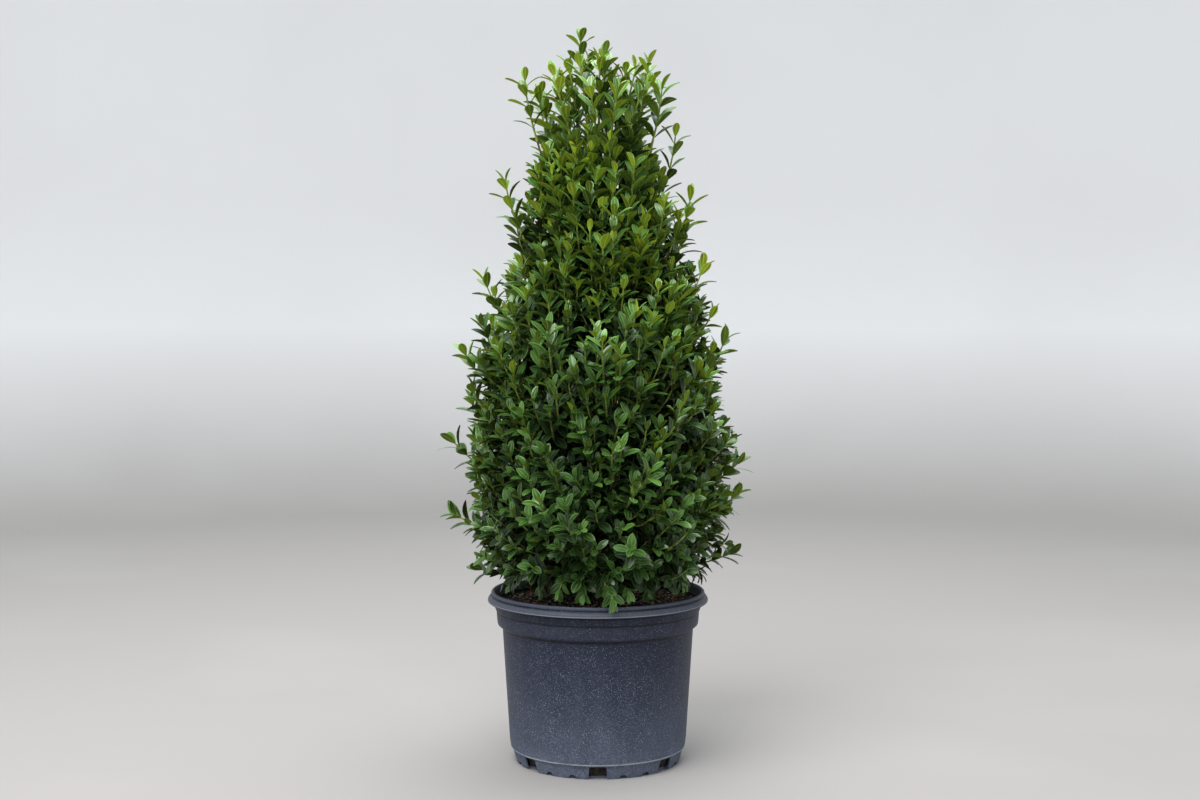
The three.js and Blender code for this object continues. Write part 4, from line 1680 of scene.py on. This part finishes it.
@dataclass
class NurseryPot:
    """The moulded pot: foot ring with drain holes, plain wall, stepped collar and rolled rim."""

    wall: float = 0.0019
    rim_radius: float = 0.140
    height: float = 0.2175
    floor: float = 0.003
    centre_radius: float = 0.030
    segments: int = 240
    drains: int = 7
    drain_width: float = 0.021
    drain_height: float = 0.0165
    drain_corner: float = 0.0015
    drain_flare: float = 0.0012
    drain_depths: tuple[float, float] = (0.0975, 0.118)
    dent_offsets: tuple[float, ...] = (-17.14, 17.14)
    dent_radius: float = 0.0056
    dent_squash: float = 0.95
    dent_sink: float = 0.0002
    dent_depths: tuple[float, float] = (0.0992, 0.118)
    dent_points: int = 9
    below: float = 0.002
    edge_angle: float = 32

    def outside(self) -> list[tuple[float, float]]:
        """Give the outside from the foot ring up over the rim.

        Returns:
            Radius and height of each point.
        """
        rim, top = self.rim_radius, self.height
        return [
            (0.1030, 0.0), (0.1040, 0.0003), (0.1044, 0.0012), (0.1068, 0.0095), (0.1090, 0.0172),
            (0.1096, 0.0180), (0.1108, 0.0184), (0.1111, 0.0190), (0.1112, 0.0205), (0.1118, 0.0235),
            (0.1124, 0.0280), (0.1129, 0.0345), (0.1146, 0.0620), (0.1175, 0.1080), (0.1212, 0.1680),
            (0.1214, 0.1700), (0.1217, 0.1712), (0.1226, 0.1722), (0.1262, 0.1744), (0.1274, 0.1756),
            (0.1279, 0.1776), (0.1284, 0.1840), (0.1289, 0.1906), (0.1285, 0.1918), (0.1287, 0.1928),
            (0.1300, 0.1938), (0.1305, 0.1950), (0.1309, 0.2000), (0.1316, 0.2020), (rim - 0.0040, 0.2032),
            (rim - 0.0014, 0.2036), (rim - 0.0003, 0.2044), (rim, 0.2058), (rim - 0.0005, 0.2078),
            (rim - 0.0018, 0.2098), (rim - 0.0036, 0.2112), (rim - 0.0046, 0.2116), (rim - 0.0050, 0.2122),
            (rim - 0.0046, 0.2132), (rim - 0.0043, 0.2146), (rim - 0.0046, 0.2161),
            (rim - 0.0056, top - 0.0003), (rim - 0.0068, top),
        ]

    def inside(self) -> list[tuple[float, float]]:
        """Give the inside from the rim down to the middle of the floor.

        Returns:
            Radius and height of each point.
        """
        rim, top, wall = self.rim_radius, self.height, self.wall
        return [
            (rim - 0.0080, top - 0.0007), (rim - 0.0088, top - 0.0028), (0.1302, 0.2080), (0.1294, 0.2000),
            (0.1285 - wall, 0.1890), (0.1276 - wall, 0.1775), (0.1212 - wall, 0.1705),
            (0.1146 - wall, 0.0620), (0.1127 - wall, 0.0345), (0.1090 - wall, 0.0180),
            (0.1046 - wall, 0.0045), (0.1030 - wall, self.floor), (self.centre_radius, self.floor),
        ]

    def shell(self) -> MeshStock:
        """Turn the outside and the inside into one closed shell.

        Returns:
            The shell, still without its drain holes.
        """
        profile = np.array([(self.centre_radius, 0.0), *self.outside(), *self.inside()])
        points, faces = lathe(profile, self.segments)
        last = len(points) - self.segments
        middles = np.array([[0, 0, 0], [0, 0, self.floor]], dtype=float)
        j = np.arange(self.segments)
        k = (j + 1) % self.segments
        under = np.stack([np.full_like(j, len(points)), k, j], 1)
        over = np.stack([np.full_like(j, len(points) + 1), last + j, last + k], 1)
        stock = MeshStock()
        stock.add(np.vstack([points, middles]), np.concatenate([faces, under, over]))
        return stock

    def notch(self) -> list[tuple[float, float]]:
        """Give the section of a drain hole.

        Returns:
            Sideways offset and height of each point, turning left.
        """
        half, top, corner = self.drain_width / 2, self.drain_height, self.drain_corner
        foot = half + self.drain_flare
        return [(-foot, -self.below), (foot, -self.below), (half, top - corner), (half - corner, top),
                (-half + corner, top), (-half, top - corner)]

    def dent(self) -> list[tuple[float, float]]:
        """Give the section of a dent beside a drain hole.

        Returns:
            Sideways offset and height of each point, turning left.
        """
        radius = self.dent_radius
        arch = [(radius * math.cos(a), self.dent_squash * radius * math.sin(a) - self.dent_sink)
                for a in np.linspace(0, math.pi, self.dent_points)]
        return [(radius, -self.below), *arch, (-radius, -self.below)]

    def cutters(self) -> bpy.types.Object:
        """Make the joined shapes that cut the drain holes and the dents beside them.

        Returns:
            The cutters as one object.
        """
        stock = MeshStock()
        for k in range(self.drains):
            middle = -math.pi / 2 + FULL_TURN * k / self.drains
            stock.add(*self.prism(self.notch(), middle, *self.drain_depths))
            for offset in self.dent_offsets:
                stock.add(*self.prism(self.dent(), middle + math.radians(offset), *self.dent_depths))
        return stock.make("drain_cutters", [])

    def prism(self, outline: list[tuple[float, float]], bearing: float, near: float,
              far: float) -> tuple[Array, Array]:
        """Make a prism that lies along a bearing.

        Args:
            outline: Its section, as sideways offset and height, turning left.
            bearing: The bearing it lies along.
            near: Its inner end's distance from the axis.
            far: Its outer end's distance.

        Returns:
            Points and triangles.
        """
        out, side = direction(0, bearing), direction(0, bearing + math.pi / 2)
        ends = [np.array([out * reach + side * x + UP * z for x, z in outline]) for reach in (near, far)]
        return np.concatenate(ends), closed_faces(2, len(outline))

    def make(self, plastic: bpy.types.Material) -> None:
        """Build the pot and cut its drain holes.

        Args:
            plastic: Its material.
        """
        pot = self.shell().make("pot_shell", [plastic], self.edge_angle)
        cutters = self.cutters()
        cut = pot.modifiers.new("drains", "BOOLEAN")
        cut.operation, cut.solver, cut.object = "DIFFERENCE", "EXACT", cutters
        shaped = bpy.data.meshes.new_from_object(pot.evaluated_get(bpy.context.evaluated_depsgraph_get()))
        pot.modifiers.clear()
        pot.data = shaped
        shaped.shade_smooth()
        shaped.set_sharp_from_angle(angle=math.radians(self.edge_angle))
        bpy.data.objects.remove(cutters)
        settle(pot, "pot", "pot")


@dataclass
class PottingSoil:
    """The soil with its lumpy top, and the bark chips and perlite grains that lie on it."""

    level: float = 0.2035
    dome: float = 0.002
    dome_radius: float = 0.09
    edge_drop: float = 0.0025
    edge_from: float = 0.098
    edge_over: float = 0.028
    coarse_lumps: tuple[float, float] = (0.0007, 0.016)
    fine_lumps: tuple[float, float] = (0.0006, 0.006)
    calm_radius: float = 0.03
    sink: float = 0.0006
    radius: float = 0.1262
    body: tuple[tuple[float, float], ...] = ((0.0985, 0.0034), (0.1100, 0.0360), (0.1186, 0.1700))
    brim: float = 0.1900
    rings: int = 64
    segments: int = 180
    rim_gap: float = 0.003
    stem_gap: float = 0.02
    seed: int = 19

    chips: int = 2300
    chip_least: float = 0.0012
    chip_spread: float = 0.0013
    chip_widths: tuple[float, float] = (0.0010, 0.0030)
    chip_depths: tuple[float, float] = (0.0005, 0.0012)
    chip_tilt: float = 0.22
    chip_wear: tuple[float, float] = (-0.45, 0.2)
    chip_lift: float = 0.0004
    chip_top: float = 0.0055
    chip_shares: Triple = (0.54, 0.24, 0.22)

    grains: int = 90
    grain_sizes: tuple[float, float] = (0.0006, 0.0015)
    grain_sides: int = 7
    grain_dents: float = 0.18
    grain_profile: tuple[tuple[float, float], ...] = (
        (0.05, -0.9), (0.8, -0.5), (1.0, 0.1), (0.7, 0.7), (0.05, 0.95),
    )

    def top_at(self, places: Array) -> Array:
        """Give the soil's height, domed in the middle, lower at the edge and lumpy all over.

        Args:
            places: The x and y of each place.

        Returns:
            The height at each.
        """
        distance = np.hypot(places[:, 0], places[:, 1])
        dome = self.dome * np.clip(1 - distance / self.dome_radius, 0, 1)
        drop = self.edge_drop * np.clip((distance - self.edge_from) / self.edge_over, 0, 1) ** 1.5
        coarse, coarse_size = self.coarse_lumps
        fine, fine_size = self.fine_lumps
        lumps = coarse * waves(places, coarse_size, 3) + fine * waves(places, fine_size, 4)
        calm = np.clip(distance / self.calm_radius, 0.25, 1)
        return self.level + dome - drop + lumps * calm - self.sink

    def make_bed(self, soil: bpy.types.Material) -> None:
        """Build the body of soil.

        Args:
            soil: Its material.
        """
        radii = np.concatenate([[0.0004], np.linspace(0.003, self.radius, self.rings)])[::-1]
        turns = around(self.segments)
        rings = [np.stack([r * np.cos(turns), r * np.sin(turns)], 1) for r in radii]
        top = [np.column_stack([ring, self.top_at(ring)]) for ring in rings]
        wall = [circle(r, z, turns) for r, z in (*self.body, (self.radius, self.brim))]
        stock = MeshStock()
        stock.add(np.concatenate(wall + top), closed_faces(len(wall) + len(top), self.segments))
        settle(stock.make("soil_bed", [soil], 70), "soil", "potting_soil")

    def scatter(self, count: int, rng: np.random.Generator) -> Array:
        """Spread places over the soil.

        Args:
            count: How many.
            rng: The random source.

        Returns:
            Points on the soil's surface.
        """
        distance = (self.radius - self.rim_gap) * np.sqrt(rng.uniform(self.stem_gap, 1, count))
        turn = rng.uniform(0, FULL_TURN, count)
        places = np.stack([distance * np.cos(turn), distance * np.sin(turn)], 1)
        return np.column_stack([places, self.top_at(places)])

    def make_chips(self, kinds: list[bpy.types.Material]) -> None:
        """Scatter shredded bark over the soil.

        Args:
            kinds: The materials of the chips.
        """
        rng = np.random.default_rng(self.seed)
        stock = MeshStock()
        block = np.array([[x, y, z] for z in (-1, 1) for x, y in ((-1, -1), (1, -1), (1, 1), (-1, 1))]) / 2
        faces = closed_faces(2, 4)
        for place in self.scatter(self.chips, rng):
            turn, tilt = rng.uniform(0, FULL_TURN), rng.normal(0, self.chip_tilt)
            long = direction(tilt, turn)
            side, other = square_to(long)
            length = rng.gamma(3, self.chip_spread) + self.chip_least
            size = np.array([length, rng.uniform(*self.chip_widths), rng.uniform(*self.chip_depths)])
            shape = block * (1 + rng.uniform(*self.chip_wear, block.shape)) * size
            points = shape @ np.stack([long, side, other]) + place + UP * self.chip_lift
            points[:, 2] = np.minimum(points[:, 2], self.level + self.chip_top)
            stock.add(points, faces, rng.choice(len(kinds), p=self.chip_shares))
        settle(stock.make("bark_chips", kinds, 20), "soil", "potting_soil")

    def make_grains(self, perlite: bpy.types.Material) -> None:
        """Scatter white grains over the soil.

        Args:
            perlite: Their material.
        """
        rng = np.random.default_rng(self.seed + 1)
        stock = MeshStock()
        faces = closed_faces(len(self.grain_profile), self.grain_sides)
        for place in self.scatter(self.grains, rng):
            size = rng.uniform(*self.grain_sizes)
            points, _ = lathe(np.array(self.grain_profile) * size, self.grain_sides)
            dents = rng.uniform(-self.grain_dents, self.grain_dents, points.shape)
            stock.add(points * (1 + dents) + place, faces)
        settle(stock.make("perlite_grains", [perlite], 50), "soil", "potting_soil")

    def make(self) -> None:
        """Build the soil and all that lies on it."""
        self.make_bed(Grit("soil_mix", (0.006, 0.005, 0.004), (0.035, 0.024, 0.016), 260).make())
        self.make_chips([
            Grit("chip_dark", (0.040, 0.027, 0.019), (0.120, 0.080, 0.052), 300).make(),
            Grit("chip_red", (0.260, 0.115, 0.062), (0.480, 0.250, 0.145), 300).make(),
            Grit("chip_tan", (0.500, 0.350, 0.215), (0.720, 0.570, 0.400), 300).make(),
        ])
        self.make_grains(Grit("perlite", (0.45, 0.44, 0.41), (0.72, 0.71, 0.68), 400).make())


# ---------------------------------------------------------------- studio


@dataclass(frozen=True)
class Lamp:
    """A round soft lamp: where it hangs, where it shines to, how wide it is and its power in watts."""

    name: str
    place: Triple
    target: Triple
    size: float
    power: float

    def hang(self) -> None:
        """Hang the lamp, turned towards its target."""
        lamp = bpy.data.lights.new(self.name, "AREA")
        lamp.shape, lamp.size, lamp.energy = "DISK", self.size, self.power
        held = bpy.data.objects.new(self.name, lamp)
        held.location = self.place
        away = np.array(self.place) - np.array(self.target)
        held.rotation_euler = (math.atan2(math.hypot(away[0], away[1]), away[2]), 0,
                               math.atan2(away[0], -away[1]))
        bpy.context.scene.collection.objects.link(held)


@dataclass
class Studio:
    """A plain pale floor that sweeps up into a backdrop, soft light and the viewer's camera."""

    floor: Colour = (0.36, 0.345, 0.335)
    wall: Colour = (0.72, 0.725, 0.73)
    floor_radius: float = 2.6
    bend: float = 0.9
    bend_points: int = 24
    wall_top: float = 1.9
    segments: int = 96
    fade_height: float = 0.5
    lamps: tuple[Lamp, ...] = (
        Lamp("key", (-0.9, -1.7, 2.8), (0.0, 0.0, 0.5), 2.4, 104),
        Lamp("overhead", (0.2, 0.5, 3.0), (0.0, 0.0, 0.5), 2.4, 66),
    )
    sky: Colour = (0.88, 0.95, 1.0)
    sky_strength: float = 0.60
    distance: float = 2.2235
    eye_height: float = 0.5864
    eye_aside: float = 0.0027
    pitch: float = 3.28
    lens: float = 52.75
    sensor: float = 36.0

    def make_backdrop(self) -> None:
        """Build the floor and the backdrop as one wide dish, so that every side has both."""
        arc = [(self.floor_radius + self.bend * math.sin(a), self.bend * (1 - math.cos(a)))
               for a in np.linspace(0, math.pi / 2, self.bend_points)]
        profile = np.array([(0.001, 0.0), *arc, (self.floor_radius + self.bend, self.wall_top)])
        points, faces = lathe(profile, self.segments)
        board = Board("studio_paper")
        rise = board.ramp(board.height(), 0.0, self.fade_height)
        drift = board.ramp(board.noise(1.3, 2), 0.3, 0.7, -0.06, 0.06)
        board.set(Base_Color=board.blend(board.total(rise, drift), self.floor, self.wall), Roughness=0.95)
        stock = MeshStock()
        stock.add(points, faces[:, ::-1])
        stock.make("studio_floor", [board.material])

    def make_sky(self) -> None:
        """Set an even pale sky."""
        world = bpy.data.worlds.new("pale_sky")
        world.use_nodes = True
        sky = world.node_tree.nodes["Background"]
        sky.inputs["Color"].default_value = (*self.sky, 1.0)
        sky.inputs["Strength"].default_value = self.sky_strength
        bpy.context.scene.world = world

    def make_camera(self) -> None:
        """Stand the camera in front of the plant, looking slightly down."""
        camera = bpy.data.cameras.new("viewer")
        camera.lens, camera.sensor_width = self.lens, self.sensor
        held = bpy.data.objects.new("viewer", camera)
        held.location = (self.eye_aside, -self.distance, self.eye_height)
        held.rotation_euler = (math.radians(90 - self.pitch), 0, 0)
        bpy.context.scene.collection.objects.link(held)
        bpy.context.scene.camera = held

    def make(self) -> None:
        """Set up the whole studio."""
        bpy.context.scene.view_settings.view_transform = "Standard"
        self.make_backdrop()
        for lamp in self.lamps:
            lamp.hang()
        self.make_sky()
        self.make_camera()


def main() -> None:
    """Build the studio, the pot, the soil, the limbs and the foliage."""
    logging.basicConfig(level=logging.INFO, format="%(name)s: %(message)s")
    Studio().make()
    NurseryPot().make(PotPlastic().make())
    PottingSoil().make()
    crown = Crown()
    limbs = Limbs(crown)
    bark = Bark().make()
    limbs.make_trunk(bark)
    limbs.make_boughs(bark)
    Foliage(crown, limbs).make()
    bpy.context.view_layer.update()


if __name__ == "__main__":
    main()
